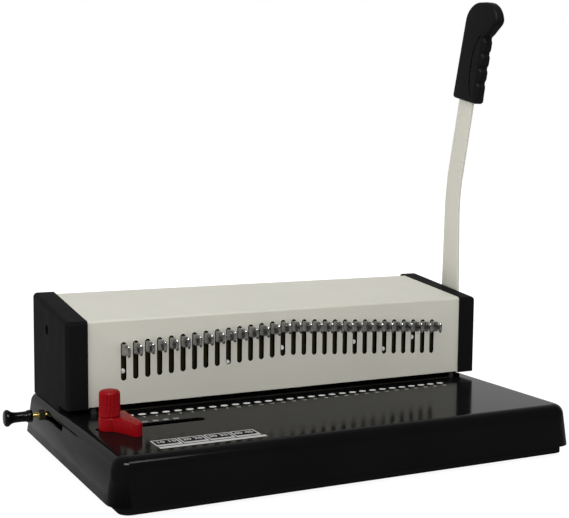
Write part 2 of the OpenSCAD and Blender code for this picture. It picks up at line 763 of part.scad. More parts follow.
module pressure_bar() {
    color([0.16, 0.16, 0.17]) difference() {
        translate([bar_half, 0, 0]) rotate([90, 0, -90]) linear_extrude(2 * bar_half) polygon([
            [-apron_front, apron_low], [-apron_front, bar_low + bar_h], [-bar_back, bar_low + bar_h],
            [-bar_back, bar_low], [-bar_front, bar_low], [-bar_front, apron_low]]);
        for (sx = [-1, 1]) translate([sx * rod_x, pin_y, bar_low - over])
            cylinder(r = rod_d / 2 + run, h = bar_h + 2 * over, $fn = 32);
        for (k = [0:holes - 1]) {
            x = hole_x(k);
            translate([x, pin_y, bar_low - over])
                cylinder(r = pin_r + run, h = pin_tip(x) + pin_len + 0.2 - bar_low + over, $fn = 32);
            translate([x - tab_side - tab_t / 2 - slip, apron_front - over, tab_mid(x) - tab_h / 2 - slip])
                cube([tab_t + 2 * slip, tab_in + 0.6 - apron_front + over, tab_h + 2 * slip]);
        }
    }
}

// Bright screws in two rows on the apron of the pressure bar, seen through some of the slots
low_row = [0, 9, 24];
high_row = [14, 21, 27];
function screw_z(k) = apron_low + (len(search(k, low_row)) > 0 ? 7.5 : 15.5);
module bar_screws() {
    head = 1.2;
    color([0.85, 0.85, 0.86]) for (k = concat(low_row, high_row))
        translate([hole_x(k), apron_front, screw_z(k)]) rotate([90, 0, 0])
            cylinder(d1 = 3.6, d2 = 2.4, h = head, $fn = 24);
}

module punch_pins() {
    color([0.25, 0.25, 0.26]) for (k = [0:holes - 1]) {
        x = hole_x(k);
        difference() {
            translate([x, pin_y, pin_tip(x)]) cylinder(r = pin_r, h = pin_len, $fn = 32);
            translate([x - tab_side - tab_t / 2 - slip, pin_y - pin_d, tab_mid(x) - tab_h / 2 - slip])
                cube([tab_t + 2 * slip, 2 * pin_d, tab_h + 2 * slip]);
        }
    }
}

// One pin selector: a key through bar and pin, with a waist and a turned end outside
module selector(x) {
    half = tab_h / 2;
    slim = tab_waist / 2;
    lip = tab_lip / 2;
    outer = panel_y - tab_out;
    full_y = panel_y - 0.68 * tab_out;
    slim_y0 = panel_y - 0.74 * tab_out;
    slim_y1 = outer + tab_t + 0.02 * tab_out;
    translate([x - tab_side, 0, tab_mid(x)]) {
        translate([-tab_t / 2, 0, 0]) rotate([90, 0, 90]) linear_extrude(tab_t) polygon([
            [tab_in, -half], [tab_in, half], [full_y, half], [slim_y0, slim], [slim_y1, slim],
            [outer + tab_t, lip], [outer, lip], [outer, -lip], [outer + tab_t, -lip],
            [slim_y1, -slim], [slim_y0, -slim], [full_y, -half]]);
        translate([-tab_t / 2, outer, -lip]) cube([tab_turn, tab_t, tab_lip]);
    }
}

// Selectors are pulled in sets: the outer two at each end leave 26 holes, the next three leave 20
outer_set = 2;
inner_set = 5;
function edge_rank(k) = min(k, holes - 1 - k);

module outer_selectors() {
    color([0.7, 0.7, 0.7]) for (k = [0:holes - 1]) if (edge_rank(k) < outer_set) selector(hole_x(k));
}

module inner_selectors() {
    color([0.7, 0.7, 0.7]) for (k = [0:holes - 1])
        if (edge_rank(k) >= outer_set && edge_rank(k) < inner_set) selector(hole_x(k));
}

module centre_selectors() {
    color([0.7, 0.7, 0.7]) for (k = [0:holes - 1]) if (edge_rank(k) >= inner_set) selector(hole_x(k));
}

// Middle line of the lever: y, z and forward turn at length s from the shaft
function lever_at(s) = let (t = min(max(s - lever_straight, 0), bend_len) / lever_bend_r * 180 / PI,
    rest = max(s - lever_straight - bend_len, 0)) [
    shaft_y - lever_bend_r * (1 - cos(t)) - rest * sin(t),
    shaft_z + min(s, lever_straight) + lever_bend_r * sin(t) + rest * cos(t), t];
function lever_width(s) = lookup(s, [[0, lever_foot_w], [lever_straight, lever_mid_w],
    [lever_len, lever_tip_w], [lever_len + tang_len, lever_tip_w - 2]]);
function lever_side(s, side) = let (p = lever_at(s), w = side * lever_width(s) / 2)
    [p[0] + w * cos(p[2]), p[1] + w * sin(p[2])];
lever_stations = concat([0], [for (i = [0:10]) lever_straight + bend_len * i / 10],
    [lever_len, lever_len + tang_len]);

module lever_blank(extra = 0) {
    n = len(lever_stations);
    rear = [for (i = [0:n - 1]) lever_side(lever_stations[i], 1)];
    fore = [for (i = [n - 1:-1:0]) lever_side(lever_stations[i], -1)];
    translate([lever_in - extra, 0, 0]) rotate([90, 0, 90]) linear_extrude(lever_t + 2 * extra)
        polygon(concat(rear, fore));
}

module lever_bar() {
    color([0.82, 0.81, 0.77]) difference() {
        union() {
            lever_blank();
            translate([lever_in, shaft_y, shaft_z]) rotate([0, 90, 0])
                cylinder(d = lever_foot_w, h = lever_t);
        }
        translate([lever_in - over, shaft_y, shaft_z]) rotate([0, 90, 0])
            cylinder(r = shaft_r, h = lever_t + 2 * over);
    }
}

module lever_washer() {
    inner = lever_in - washer_t;
    color([0.6, 0.6, 0.62]) translate([inner, shaft_y, shaft_z]) rotate([0, 90, 0]) difference() {
        cylinder(d = lever_foot_w - 3, h = washer_t);
        translate([0, 0, -over]) cylinder(r = shaft_r, h = washer_t + 2 * over);
    }
}

module lever_bolt() {
    color([0.6, 0.6, 0.62]) translate([lever_out, shaft_y, shaft_z]) rotate([0, 90, 0]) {
        cylinder(d = bolt_head_d + 4, h = bolt_flange);
        translate([0, 0, bolt_flange]) cylinder(d = bolt_head_d, h = bolt_head_h, $fn = 6);
        translate([0, 0, -bolt_reach])
            cylinder(d = shaft_d / 2, h = bolt_reach + bolt_flange / 2, $fn = 32);
    }
}

// Grip outline: u is forward of the lever's middle line, v runs up from the grip's lower end
head_u = grip_head - grip_back;
head_turn = 90 + atan(head_rise / head_run);
chin = 11;
grooves = 4;
groove_top = grip_len - 10.5;
grip_flare = 2;
groove_low = groove_top - (grooves - 1) * groove_pitch;
function front_u(v) = grip_front - groove * pow(cos(180 * (v - groove_low) / groove_pitch), 6);
grip_points = concat(
    [[3 - grip_back - grip_flare, 0], [grip_front - 3, 0]],
    [[grip_front - 0.8, 1.2], [grip_front, groove_low / 3]],
    [for (i = [-3:8 * (grooves - 1)]) let (v = groove_low + i * groove_pitch / 8) [front_u(v), v]],
    arc([head_u + head_run, grip_len + head_rise], grip_head, chin, head_turn, 16),
    arc([head_u, grip_len], grip_head, head_turn + 8, 180, 8),
    [for (i = [1:6]) [-grip_back - grip_flare * i / 6.5, grip_len * (1 - i / 6.5)]],
    [[0.8 - grip_back - grip_flare, 1.2]]);
grip_n = len(grip_points);
function inward(i, d) = let (a = grip_points[(i + grip_n - 1) % grip_n], b = grip_points[(i + 1) % grip_n],
    t = (b - a) / norm(b - a)) grip_points[i] + d * [-t[1], t[0]];
grip_origin = lever_at(lever_len);
function grip_place(p, x) = let (t = grip_origin[2]) [x, grip_origin[0] - p[0] * cos(t) - p[1] * sin(t),
    grip_origin[1] - p[0] * sin(t) + p[1] * cos(t)];

module lever_grip() {
    round_r = 3.2;
    half = grip_t / 2;
    rings = concat([for (a = [90:-30:0]) [-half + round_r * (1 - sin(a)), round_r * (1 - cos(a))]],
        [for (a = [0:30:90]) [half - round_r * (1 - sin(a)), round_r * (1 - cos(a))]]);
    count = len(rings);
    points = [for (ring = rings, i = [0:grip_n - 1])
        grip_place(inward(i, ring[1]), lever_mid + ring[0])];
    sides = [for (j = [0:count - 2], i = [0:grip_n - 1]) let (k = (i + 1) % grip_n, m = j + 1)
        [j * grip_n + i, j * grip_n + k, m * grip_n + k, m * grip_n + i]];
    color([0.06, 0.06, 0.065]) difference() {
        polyhedron(points, concat(sides, [[for (i = [grip_n - 1:-1:0]) i]],
            [[for (i = [0:grip_n - 1]) (count - 1) * grip_n + i]]), convexity = 6);
        lever_blank(0.02);
    }
}

module edge_guide() {
    face = guide_x + stop_face;
    inner = face - stop_wide;
    fore = guide_y - edge_ahead;
    aft = fore + edge_len;
    color([0.72, 0.08, 0.1]) translate([0, 0, base_top]) difference() {
        union() {
            translate([guide_x, guide_y, 0]) cylinder(r = hub_r, h = edge_h);
            linear_extrude(edge_h) polygon([[guide_x, guide_y + hub_r], [inner, aft], [face - 1, aft],
                [face, aft - 1], [face, fore + toe_r], [face - 0.29 * toe_r, fore + 0.29 * toe_r],
                [face - toe_r, fore], [inner + 1.8, fore + 0.5], [inner + 0.6, fore + 2.6],
                [guide_x, guide_y - hub_r]]);
        }
        translate([guide_x, guide_y, -over])
            cylinder(d = guide_stud_d + 2 * run, h = edge_h + 2 * over, $fn = 32);
    }
}

module guide_stud() {
    plate = 16;
    plate_h = 2.5;
    low = top_under - plate_h - slip;
    color([0.6, 0.6, 0.62]) translate([guide_x, guide_y, low]) {
        cylinder(d = guide_stud_d, h = knob_low + 0.7 * knob_h - low, $fn = 32);
        translate([0, slot_back, 0]) cylinder(d = guide_key_d, h = base_top - slip - low, $fn = 32);
        translate([-plate / 2, -plate / 2, 0]) cube([plate, plate, plate_h]);
    }
}

module guide_knob() {
    flutes = 18;
    r = knob_d / 2;
    color([0.72, 0.08, 0.1]) translate([guide_x, guide_y, knob_low]) difference() {
        rotate_extrude() polygon(concat([[0, 0], [r - 0.5, 0], [r, 0.5]],
            arc([r - 2, knob_h - 2], 2, 0, 90, 6), [[0, knob_h]]));
        for (i = [0:flutes - 1]) rotate(i * 360 / flutes) translate([r + 0.35, 0, 1])
            cylinder(r = 0.9, h = knob_h - 5, $fn = 16);
        translate([0, 0, -over])
            cylinder(d = guide_stud_d + 2 * run, h = 0.7 * knob_h + over + 0.4, $fn = 32);
    }
}

// Axis of the margin lever through the left side: +Z of the children points out
module margin_axis() {
    translate([-wall_x(margin_z), margin_y, margin_z]) rotate([0, -90, 0]) children();
}

module depth_stop() {
    arm_low = margin_z - arm_t / 2 - stud_d / 2;
    block = stud_d + 5;
    arm_y = margin_y - block / 2;
    left = arm_x1 - arm_tab;
    tab_y = stop_y + pin_y + die_d / 2 + room - stop_front;
    color([0.55, 0.55, 0.57]) difference() {
        union() {
            translate([left, stop_y, stop_low]) cube([rod_x - left, stop_d, stop_t]);
            translate([left, tab_y, arm_low])
                cube([arm_tab, stop_y + stop_d - tab_y, stop_low + stop_t - arm_low]);
            translate([arm_x0, arm_y, arm_low]) cube([arm_x1 - arm_x0, stop_y + stop_d - arm_y, arm_t]);
            translate([arm_x0, arm_y, arm_low]) cube([block / 2 + 2, block, top_under - room - arm_low]);
        }
        margin_axis() translate([0, 0, -2 * wall_reach]) cylinder(d = stud_d, h = 2 * wall_reach, $fn = 32);
    }
}

module margin_stud() {
    outside = nut_off + nut_t + stud_bare + stud_in * margin_grip_len;
    color([0.72, 0.6, 0.28]) margin_axis() translate([0, 0, -wall_reach])
        cylinder(d = stud_d, h = wall_reach + outside, $fn = 32);
}

module margin_nut() {
    color([0.6, 0.48, 0.22]) margin_axis() translate([0, 0, nut_off]) difference() {
        cylinder(d = nut_d, h = nut_t, $fn = 6);
        translate([0, 0, -over]) cylinder(d = stud_d, h = nut_t + 2 * over, $fn = 32);
    }
}

module margin_grip() {
    len = margin_grip_len;
    color([0.08, 0.08, 0.085]) margin_axis() translate([0, 0, nut_off + nut_t + stud_bare]) difference() {
        rotate_extrude() polygon(concat([[0, 0], [4.4, 0], [4.8, 0.4], [4.8, 3.6], [4.1, 4.4],
            [4, 0.5 * len], [4.3, len - 8], [5.2, len - 5.6]], arc([4.2, len - 3], 2.3, -25, 90, 6),
            [[0, len - 0.4]]));
        translate([0, 0, -over]) cylinder(d = stud_d + 2 * run, h = stud_in * len + over + 0.5, $fn = 32);
    }
}

module chip_tray() {
    color([0.1, 0.1, 0.11]) difference() {
        translate([-tray_half, pin_y - tray_d / 2, tray_low]) difference() {
            cube([tray_half + tray_front, tray_d, tray_high - tray_low]);
            translate([tray_wall, tray_wall, tray_wall])
                cube([2 * tray_half - 2 * tray_wall, tray_d - 2 * tray_wall, tray_high]);
            translate([2 * tray_half, tray_wall, tray_wall])
                cube([tray_front - tray_half - tray_face_t, tray_d - 2 * tray_wall, tray_high]);
        }
        translate([tray_front - 2 * tray_face_t, pin_y, tray_high + 2]) rotate([0, 90, 0])
            cylinder(r = 9, h = 3 * tray_face_t);
    }
}

// The origin is the middle of the whole machine's outline on the table
left_reach = wall_x(margin_z) + nut_off + nut_t + stud_bare + margin_grip_len - 0.4;
right_reach = max(lever_out + bolt_flange + bolt_head_h, lever_mid + grip_t / 2);
module place() {
    translate([(left_reach - right_reach) / 2, 0, 0]) children();
}

place() base_shell();
place() bottom_plate();
place() rubber_feet();
place() base_screws();
place() left_end_cap();
place() right_end_cap();
place() cap_screws();
place() punch_cover();
place() left_side_frame();
place() right_side_frame();
place() frame_screws();
place() tie_rod();
place() left_shaft_bush();
place() right_shaft_bush();
place() die_plate();
place() pin_guide();
place() guide_rods();
place() drive_shaft();
place() drive_pinions();
place() shaft_collar();
place() return_spring();
place() pressure_bar();
place() bar_screws();
place() drive_racks();
place() punch_pins();
place() outer_selectors();
place() inner_selectors();
place() centre_selectors();
place() lever_bar();
place() lever_washer();
place() lever_bolt();
place() lever_grip();
place() edge_guide();
place() guide_stud();
place() guide_knob();
place() depth_stop();
place() margin_stud();
place() margin_nut();
place() margin_grip();
place() chip_tray();
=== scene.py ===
"""Looks of a desk punching and binding machine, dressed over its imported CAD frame.

Sizes are in millimetres, counted from the middle of the base on the table: X to the right,
Y to the back, Z up. ``metres`` takes them into the frame.
"""

import logging
import math
from dataclasses import dataclass
from enum import Enum
from functools import cache, reduce
from typing import Callable, Optional, Sequence

import bmesh
import bpy
import numpy as np
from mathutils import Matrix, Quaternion, Vector


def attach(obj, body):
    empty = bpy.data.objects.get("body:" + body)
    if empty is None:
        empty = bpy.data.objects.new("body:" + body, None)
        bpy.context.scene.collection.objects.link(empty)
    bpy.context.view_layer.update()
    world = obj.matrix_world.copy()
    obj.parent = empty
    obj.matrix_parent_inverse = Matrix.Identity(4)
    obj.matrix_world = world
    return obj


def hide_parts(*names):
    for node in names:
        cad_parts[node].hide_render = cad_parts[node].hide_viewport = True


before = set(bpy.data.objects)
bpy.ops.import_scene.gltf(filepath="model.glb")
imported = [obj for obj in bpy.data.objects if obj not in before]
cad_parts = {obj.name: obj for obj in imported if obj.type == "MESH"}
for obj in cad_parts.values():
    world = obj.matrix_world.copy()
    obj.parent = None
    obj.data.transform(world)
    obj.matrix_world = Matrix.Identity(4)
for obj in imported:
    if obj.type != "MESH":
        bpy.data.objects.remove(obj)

log = logging.getLogger("binding_machine")
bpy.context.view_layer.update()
MM = 0.001
HOLES = 30
PITCH = 9.5
CHEVRON = 8.7  # rise of the slots from the ends of the row to its middle
LIFT = 0.01  # keeps what is laid on a face clear of it
SHARPEST = 0.35  # least divisor at a corner, so that a sharp corner does not move too far
Array = np.ndarray
Socket = bpy.types.NodeSocket


class Body(str, Enum):
    """Bodies of the CAD frame that pieces ride on."""

    MACHINE = "machine"
    LEVER = "lever"
    PUNCH = "punch"
    OUTER_SELECTORS = "outer_selectors"
    INNER_SELECTORS = "inner_selectors"
    CENTRE_SELECTORS = "centre_selectors"
    EDGE_GUIDE = "edge_guide"
    GUIDE_KNOB = "guide_knob"
    MARGIN_STOP = "margin_stop"
    MARGIN_GRIP = "margin_grip"


class Slot(str, Enum):
    """Material slots of the record."""

    GLOSS_BLACK = "gloss_black"
    SATIN_BLACK = "satin_black"
    GRIP_BLACK = "grip_black"
    IVORY_PAINT = "ivory_paint"
    DARK_STEEL = "dark_steel"
    BRIGHT_STEEL = "bright_steel"
    BRASS = "brass"
    RED_PLASTIC = "red_plastic"


def mesh_points(mesh: bpy.types.Mesh) -> Array:
    """A mesh's points as an array.

    Args:
        mesh: a mesh of the scene or the frame.

    Returns:
        (n, 3) points in the mesh's own units.
    """
    flat = np.zeros(len(mesh.vertices) * 3)
    mesh.vertices.foreach_get("co", flat)
    return flat.reshape(-1, 3)


def node_points(node: str) -> Array:
    """A CAD node's points in the frame, in metres."""
    return mesh_points(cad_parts[node].data)


def base_middle() -> Array:
    """The point midway between the base's two sides, in the frame, in millimetres."""
    x = node_points("base_shell")[:, 0]
    return np.array([(x.min() + x.max()) / 2 / MM, 0.0, 0.0])


MIDDLE = base_middle()


def metres(points: Array) -> Array:
    """Millimetres from the middle of the base, as metres in the frame."""
    return (np.asarray(points, float) + MIDDLE) * MM


def hole_row() -> Array:
    """X of each hole, from the left to the right."""
    return (np.arange(HOLES) - (HOLES - 1) / 2) * PITCH


def chevron_row(side: float, low: float) -> Array:
    """A place side to the right of each hole: low at the row's ends, CHEVRON higher in its middle."""
    x = hole_row()
    return np.stack([x + side, np.zeros_like(x), low + CHEVRON * (1 - np.abs(x) / x.max())], -1)


# Surfaces


@dataclass
class Surface:
    """A mesh as arrays: points in millimetres and faces as tuples of point numbers."""

    points: Array
    faces: list

    def joined(self, other: "Surface") -> "Surface":
        """Both surfaces as one."""
        moved = [tuple(i + len(self.points) for i in f) for f in other.faces]
        return Surface(np.vstack([self.points, other.points]), list(self.faces) + moved)

    def tiled(self, offsets: Array) -> "Surface":
        """One copy of the surface at each offset.

        Args:
            offsets: (k, 3) moves in millimetres.

        Returns:
            A surface that holds the k copies.
        """
        n, k = len(self.points), len(offsets)
        points = (self.points[None, :, :] + np.asarray(offsets)[:, None, :]).reshape(-1, 3)
        faces = [tuple(i + n * j for i in f) for j in range(k) for f in self.faces]
        return Surface(points, faces)


def loft(rings: Array, closed_ends: bool = True) -> Surface:
    """Skin over closed rings: points j and j + 1 of ring i and of ring i + 1 make one face.

    Args:
        rings: (m, n, 3) points; ring i is rings[i], and its points run anticlockwise seen from
            the last ring's side.
        closed_ends: put a flat face on the first and the last ring.

    Returns:
        The skin.
    """
    m, n, _ = rings.shape
    i, j = np.meshgrid(np.arange(m - 1) * n, np.arange(n), indexing="ij")
    k = (j + 1) % n
    faces = np.stack([i + j, i + k, i + n + k, i + n + j], -1).reshape(-1, 4).tolist()
    if closed_ends:
        faces += [range(n - 1, -1, -1), range((m - 1) * n, m * n)]
    return Surface(rings.reshape(-1, 3), [tuple(f) for f in faces])


def arc(radius: float, start: float, end: float, count: int, centre: Sequence[float] = (0.0, 0.0)) -> Array:
    """Points centre + radius * (cos t, sin t), with t from start to end in degrees."""
    t = np.radians(np.linspace(start, end, count))
    return radius * np.stack([np.cos(t), np.sin(t)], -1) + np.array(centre)


def revolve(profile: Array, segments: int,
            ripple: Optional[Callable[[Array, Array], Array]] = None) -> Surface:
    """Profile (r, z) turned about Z: (r cos a, r sin a, z), closed by flat ends.

    Args:
        profile: (m, 2) radii and heights, from the lower end to the upper one.
        segments: steps of the turn.
        ripple: change of the radius as a function of angle and height, both as (m, n) arrays.

    Returns:
        The turned surface.
    """
    turn = np.linspace(0.0, 2.0 * np.pi, segments, endpoint=False)
    a, r, z = np.broadcast_arrays(turn, profile[:, :1], profile[:, 1:])
    if ripple is not None:
        r = r + ripple(a, z)
    return loft(np.stack([r * np.cos(a), r * np.sin(a), z], -1))


def inset_outline(outline: Array, distance: Array) -> Array:
    """A closed outline moved inwards along its normals, once for each distance.

    Each point moves by d / cos(half the corner's turn) along the mean of its two edges'
    normals, so straight sides stay parallel.

    Args:
        outline: (n, 2) points, anticlockwise.
        distance: (m,) inward moves.

    Returns:
        (m, n, 2) outlines.
    """
    edge = np.roll(outline, -1, 0) - outline
    edge = edge / np.linalg.norm(edge, axis=1, keepdims=True)
    after = np.stack([-edge[:, 1], edge[:, 0]], -1)
    before = np.roll(after, 1, 0)
    mean = before + after
    mean = mean / np.maximum(np.sum(mean * before, axis=1, keepdims=True), SHARPEST)
    return outline[None] + np.asarray(distance)[:, None, None] * mean[None]


def rounded_slab(outline: Array, low: float, high: float, top_round: float, low_round: float,
                 steps: int) -> Array:
    """Rings of a slab with rounded rims: inset r (1 - sin t) at height r (1 - cos t) from a face.

    Args:
        outline: (n, 2) plan, anticlockwise.
        low: height of the lower face.
        high: height of the upper face.
        top_round: radius of the upper rim.
        low_round: radius of the lower rim.
        steps: steps in each rim.

    Returns:
        (m, n, 3) rings from the lower face to the upper one.
    """
    t = np.radians(np.linspace(0.0, 90.0, steps))
    inset = np.concatenate([low_round * (1 - np.sin(t)), top_round * (1 - np.sin(t))[::-1]])
    height = np.concatenate([low + low_round * (1 - np.cos(t)), (high - top_round * (1 - np.cos(t)))[::-1]])
    plan = inset_outline(outline, inset)
    z = np.broadcast_to(height[:, None, None], plan.shape[:2] + (1,))
    return np.concatenate([plan, z], -1)


def resample(outline: Array, spacing: float) -> Array:
    """A closed outline with extra points on its long sides, about one every spacing.

    Args:
        outline: (n, 2) corner points.
        spacing: largest step between points.

    Returns:
        The finer outline.
    """
    nxt = np.roll(outline, -1, 0)
    count = np.maximum(np.ceil(np.linalg.norm(nxt - outline, axis=1) / spacing).astype(int), 1)
    start = np.repeat(np.arange(len(outline)), count)
    step = np.arange(count.sum()) - np.repeat(np.cumsum(count) - count, count)
    part = (step / np.repeat(count, count))[:, None]
    return outline[start] * (1 - part) + nxt[start] * part


# Pieces


def new_object(name: str, data: bpy.types.ID) -> bpy.types.Object:
    """A new object, put in the scene.

    Args:
        name: the object's name.
        data: its mesh, curve, camera or lamp.

    Returns:
        The object.
    """
    made = bpy.data.objects.new(name, data)
    bpy.context.scene.collection.objects.link(made)
    return made


def settle(piece: bpy.types.Object, body: Body, replaces: Sequence[str]) -> None:
    """Puts a piece on its body and hides the CAD nodes that it stands for.

    Args:
        piece: the piece's object.
        body: body that it moves with.
        replaces: CAD nodes that it stands for.
    """
    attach(piece, body.value)
    if replaces:
        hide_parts(*replaces)
    log.info("%s: %d points, on %s", piece.name, len(piece.data.vertices), body.value)


def add_piece(name: str, surface: Surface, body: Body, finish: str,
              replaces: Sequence[str] = (), smooth_angle: float = 38.0) -> None:
    """A new piece in the frame, riding on a body.

    Args:
        name: the piece's name.
        surface: its shape in millimetres from the middle of the base.
        body: body that it moves with.
        finish: name of its finish.
        replaces: CAD nodes that it stands for.
        smooth_angle: edges sharper than this stay sharp, in degrees.
    """
    mesh = bpy.data.meshes.new(name)
    mesh.from_pydata(metres(surface.points), [], surface.faces)
    mesh.validate()
    work = bmesh.new()
    work.from_mesh(mesh)
    bmesh.ops.remove_doubles(work, verts=work.verts, dist=1e-7)
    bmesh.ops.recalc_face_normals(work, faces=work.faces)
    work.to_mesh(mesh)
    work.free()
    mesh.shade_smooth()
    mesh.set_sharp_from_angle(angle=math.radians(smooth_angle))
    mesh.materials.append(material(finish))
    settle(new_object(name, mesh), body, replaces)


def softened_copy(node: str, name: str, finish: str, edge: float, smooth_angle: float = 30.0,
                  chosen: Optional[Callable[[Array], Array]] = None, steps: int = 2) -> None:
    """A fixed CAD node's shape with its triangles joined and its sharp edges rounded.

    Args:
        node: CAD node that the piece stands for.
        name: the piece's name.
        finish: name of its finish.
        edge: width of the rounded edges, in millimetres.
        smooth_angle: edges sharper than this are rounded, in degrees.
        chosen: share of the width for each edge, from the edges' middles in millimetres.
        steps: faces across a rounded edge.
    """
    work = bmesh.new()
    work.from_mesh(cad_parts[node].data)
    bmesh.ops.remove_doubles(work, verts=work.verts, dist=2e-6)
    bmesh.ops.dissolve_limit(work, angle_limit=math.radians(0.4), use_dissolve_boundaries=False,
                             verts=work.verts, edges=work.edges, delimit={"NORMAL"})
    mesh = bpy.data.meshes.new(name)
    work.to_mesh(mesh)
    work.free()
    mesh.shade_smooth()
    mesh.materials.append(material(finish))
    piece = new_object(name, mesh)
    bevel = piece.modifiers.new("broken_edges", "BEVEL")
    bevel.width = edge * MM
    bevel.segments = steps
    bevel.limit_method = "ANGLE"
    bevel.angle_limit = math.radians(smooth_angle)
    if chosen is not None:
        bevel.limit_method = "WEIGHT"
        weigh_edges(mesh, smooth_angle, chosen)
    bevel.use_clamp_overlap = True
    bevel.miter_outer = "MITER_ARC"
    weights = piece.modifiers.new("flat_faces_first", "WEIGHTED_NORMAL")
    weights.mode = "FACE_AREA"
    weights.weight = 100
    weights.keep_sharp = True
    settle(piece, Body.MACHINE, [node])


def weigh_edges(mesh: bpy.types.Mesh, smooth_angle: float, chosen: Callable[[Array], Array]) -> None:
    """Writes bevel weights: chosen(middle) on edges sharper than smooth_angle, 0 on the others.

    Args:
        mesh: mesh with joined triangles.
        smooth_angle: smallest angle of a sharp edge, in degrees.
        chosen: weight of each edge, from the (n, 3) middles in millimetres.
    """
    work = bmesh.new()
    work.from_mesh(mesh)
    turn = np.array([math.degrees(e.calc_face_angle(0.0)) for e in work.edges])
    work.free()
    ends = np.zeros(len(mesh.edges) * 2, dtype=np.int32)
    mesh.edges.foreach_get("vertices", ends)
    middle = mesh_points(mesh)[ends.reshape(-1, 2)].mean(1) / MM - MIDDLE
    weight = mesh.attributes.new("bevel_weight_edge", "FLOAT", "EDGE")
    weight.data.foreach_set("value", np.where(turn > smooth_angle, chosen(middle), 0.0))


def dress_nodes() -> None:
    """Gives the CAD nodes that keep their shape their materials."""
    for finish, names in BARE_NODES.items():
        for name in names:
            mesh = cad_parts[name].data
            mesh.materials.clear()
            mesh.materials.append(material(finish))
            log.info("%s: CAD node in %s", name, finish)


# Finishes


class Graph:
    """The node tree of a material or a world."""

    def __init__(self, owner: bpy.types.ID) -> None:
        """Empties the tree of a new material or world.

        Args:
            owner: the material or world.
        """
        owner.use_nodes = True
        self.tree = owner.node_tree
        self.tree.nodes.clear()

    def add(self, kind: str, inputs: dict) -> bpy.types.Node:
        """A shader node with its inputs linked or set.

        Args:
            kind: the node's type, without its first word ShaderNode.
            inputs: a socket to link or a value to set for each input, by name or number.

        Returns:
            The node.
        """
        node = self.tree.nodes.new("ShaderNode" + kind)
        for key, value in inputs.items():
            if isinstance(value, Socket):
                self.tree.links.new(value, node.inputs[key])
            else:
                node.inputs[key].default_value = value
        return node

    def maths(self, operation: str, *values: object) -> Socket:
        """Result of a Math node.

        Args:
            operation: the node's operation.
            values: its inputs in order, as sockets or numbers.

        Returns:
            The result's socket.
        """
        node = self.add("Math", dict(enumerate(values)))
        node.operation = operation
        return node.outputs[0]

    def ramp(self, value: Socket, start: tuple, end: tuple) -> Socket:
        """Smooth change with a value.

        Args:
            value: what the change depends on.
            start: input and output where it begins.
            end: input and output where it ends.

        Returns:
            The result's socket.
        """
        node = self.add("MapRange", {"From Min": start[0], "To Min": start[1], "From Max": end[0],
                                     "To Max": end[1], "Value": value})
        node.interpolation_type = "SMOOTHSTEP"
        return node.outputs["Result"]

    def rays(self, place: Socket, behind: tuple, beside: tuple) -> tuple:
        """How a ray sees the floor or the world.

        Args:
            place: where the ray arrives.
            behind: start and end of the mirrored share's change along Y.
            beside: the same along X.

        Returns:
            Sockets: 1 if seen directly, 1 if seen at all, and the mirrored share.
        """
        split = self.add("SeparateXYZ", {"Vector": place}).outputs
        path = self.add("LightPath", {}).outputs
        glossy = path["Is Glossy Ray"]
        direct = self.maths("MAXIMUM", path["Is Camera Ray"], path["Is Transmission Ray"])
        area = self.maths("MULTIPLY", self.ramp(split["Y"], *behind), self.ramp(split["X"], *beside))
        return direct, self.maths("MAXIMUM", direct, glossy), self.maths("MULTIPLY", glossy, area)

    def output(self, kind: str, share: Socket, light: bpy.types.Node, seen: bpy.types.Node) -> None:
        """Sends two shaders to the tree's output, the second one by its share."""
        mix = self.add("MixShader", {0: share, 1: light.outputs[0], 2: seen.outputs[0]})
        self.add(kind, {"Surface": mix.outputs[0]})


class Nodes(Graph):
    """The tree of one finish: a Principled shader and what feeds it."""

    noise_span = (0.3, 0.7)
    tint_places = (0.32, 0.68)

    def __init__(self, name: str) -> None:
        """Starts a material with a Principled shader alone.

        Args:
            name: the material's name.
        """
        self.material = bpy.data.materials.new(name)
        super().__init__(self.material)
        self.shader = self.add("BsdfPrincipled", {})
        self.add("OutputMaterial", {"Surface": self.shader.outputs["BSDF"]})
        self.coords = self.add("TexCoord", {}).outputs["Object"]

    def link(self, source: Socket, target: str) -> None:
        """Joins a socket to an input of the shader."""
        self.tree.links.new(source, self.shader.inputs[target])

    def noise(self, scale: float, detail: float, stretch: tuple = (1.0, 1.0, 1.0)) -> Socket:
        """Noise on object coordinates: waves per metre, octaves, and factors on x, y and z."""
        vector = self.add("Mapping", {"Scale": stretch, "Vector": self.coords}).outputs["Vector"]
        return self.add("TexNoise", {"Scale": scale, "Detail": detail, "Vector": vector}).outputs["Fac"]

    def roughness(self, value: Socket, low: float, high: float) -> None:
        """Roughness that follows a noise through its span.

        Args:
            value: the noise.
            low: roughness at the start of the span.
            high: roughness at its end.
        """
        start, end = self.noise_span
        spread = self.add("MapRange", {"From Min": start, "From Max": end, "To Min": low, "To Max": high,
                                       "Value": value})
        self.link(spread.outputs["Result"], "Roughness")

    def tint(self, value: Socket, colour: tuple, mottle: float) -> None:
        """Colour that a noise makes darker and lighter.

        Args:
            value: the noise.
            colour: mean colour.
            mottle: largest change, as a share of the colour.
        """
        ramp = self.add("ValToRGB", {"Fac": value})
        for end, place, share in zip(ramp.color_ramp.elements, self.tint_places, (1 - mottle, 1 + mottle)):
            end.position = place
            end.color = (*np.minimum(np.array(colour) * share, 1.0), 1.0)
        self.link(ramp.outputs["Color"], "Base Color")

    def bump(self, value: Socket, height: float) -> None:
        """Fine relief of the given height in millimetres."""
        node = self.add("Bump", {"Strength": 1.0, "Distance": height * MM, "Height": value})
        self.link(node.outputs["Normal"], "Normal")


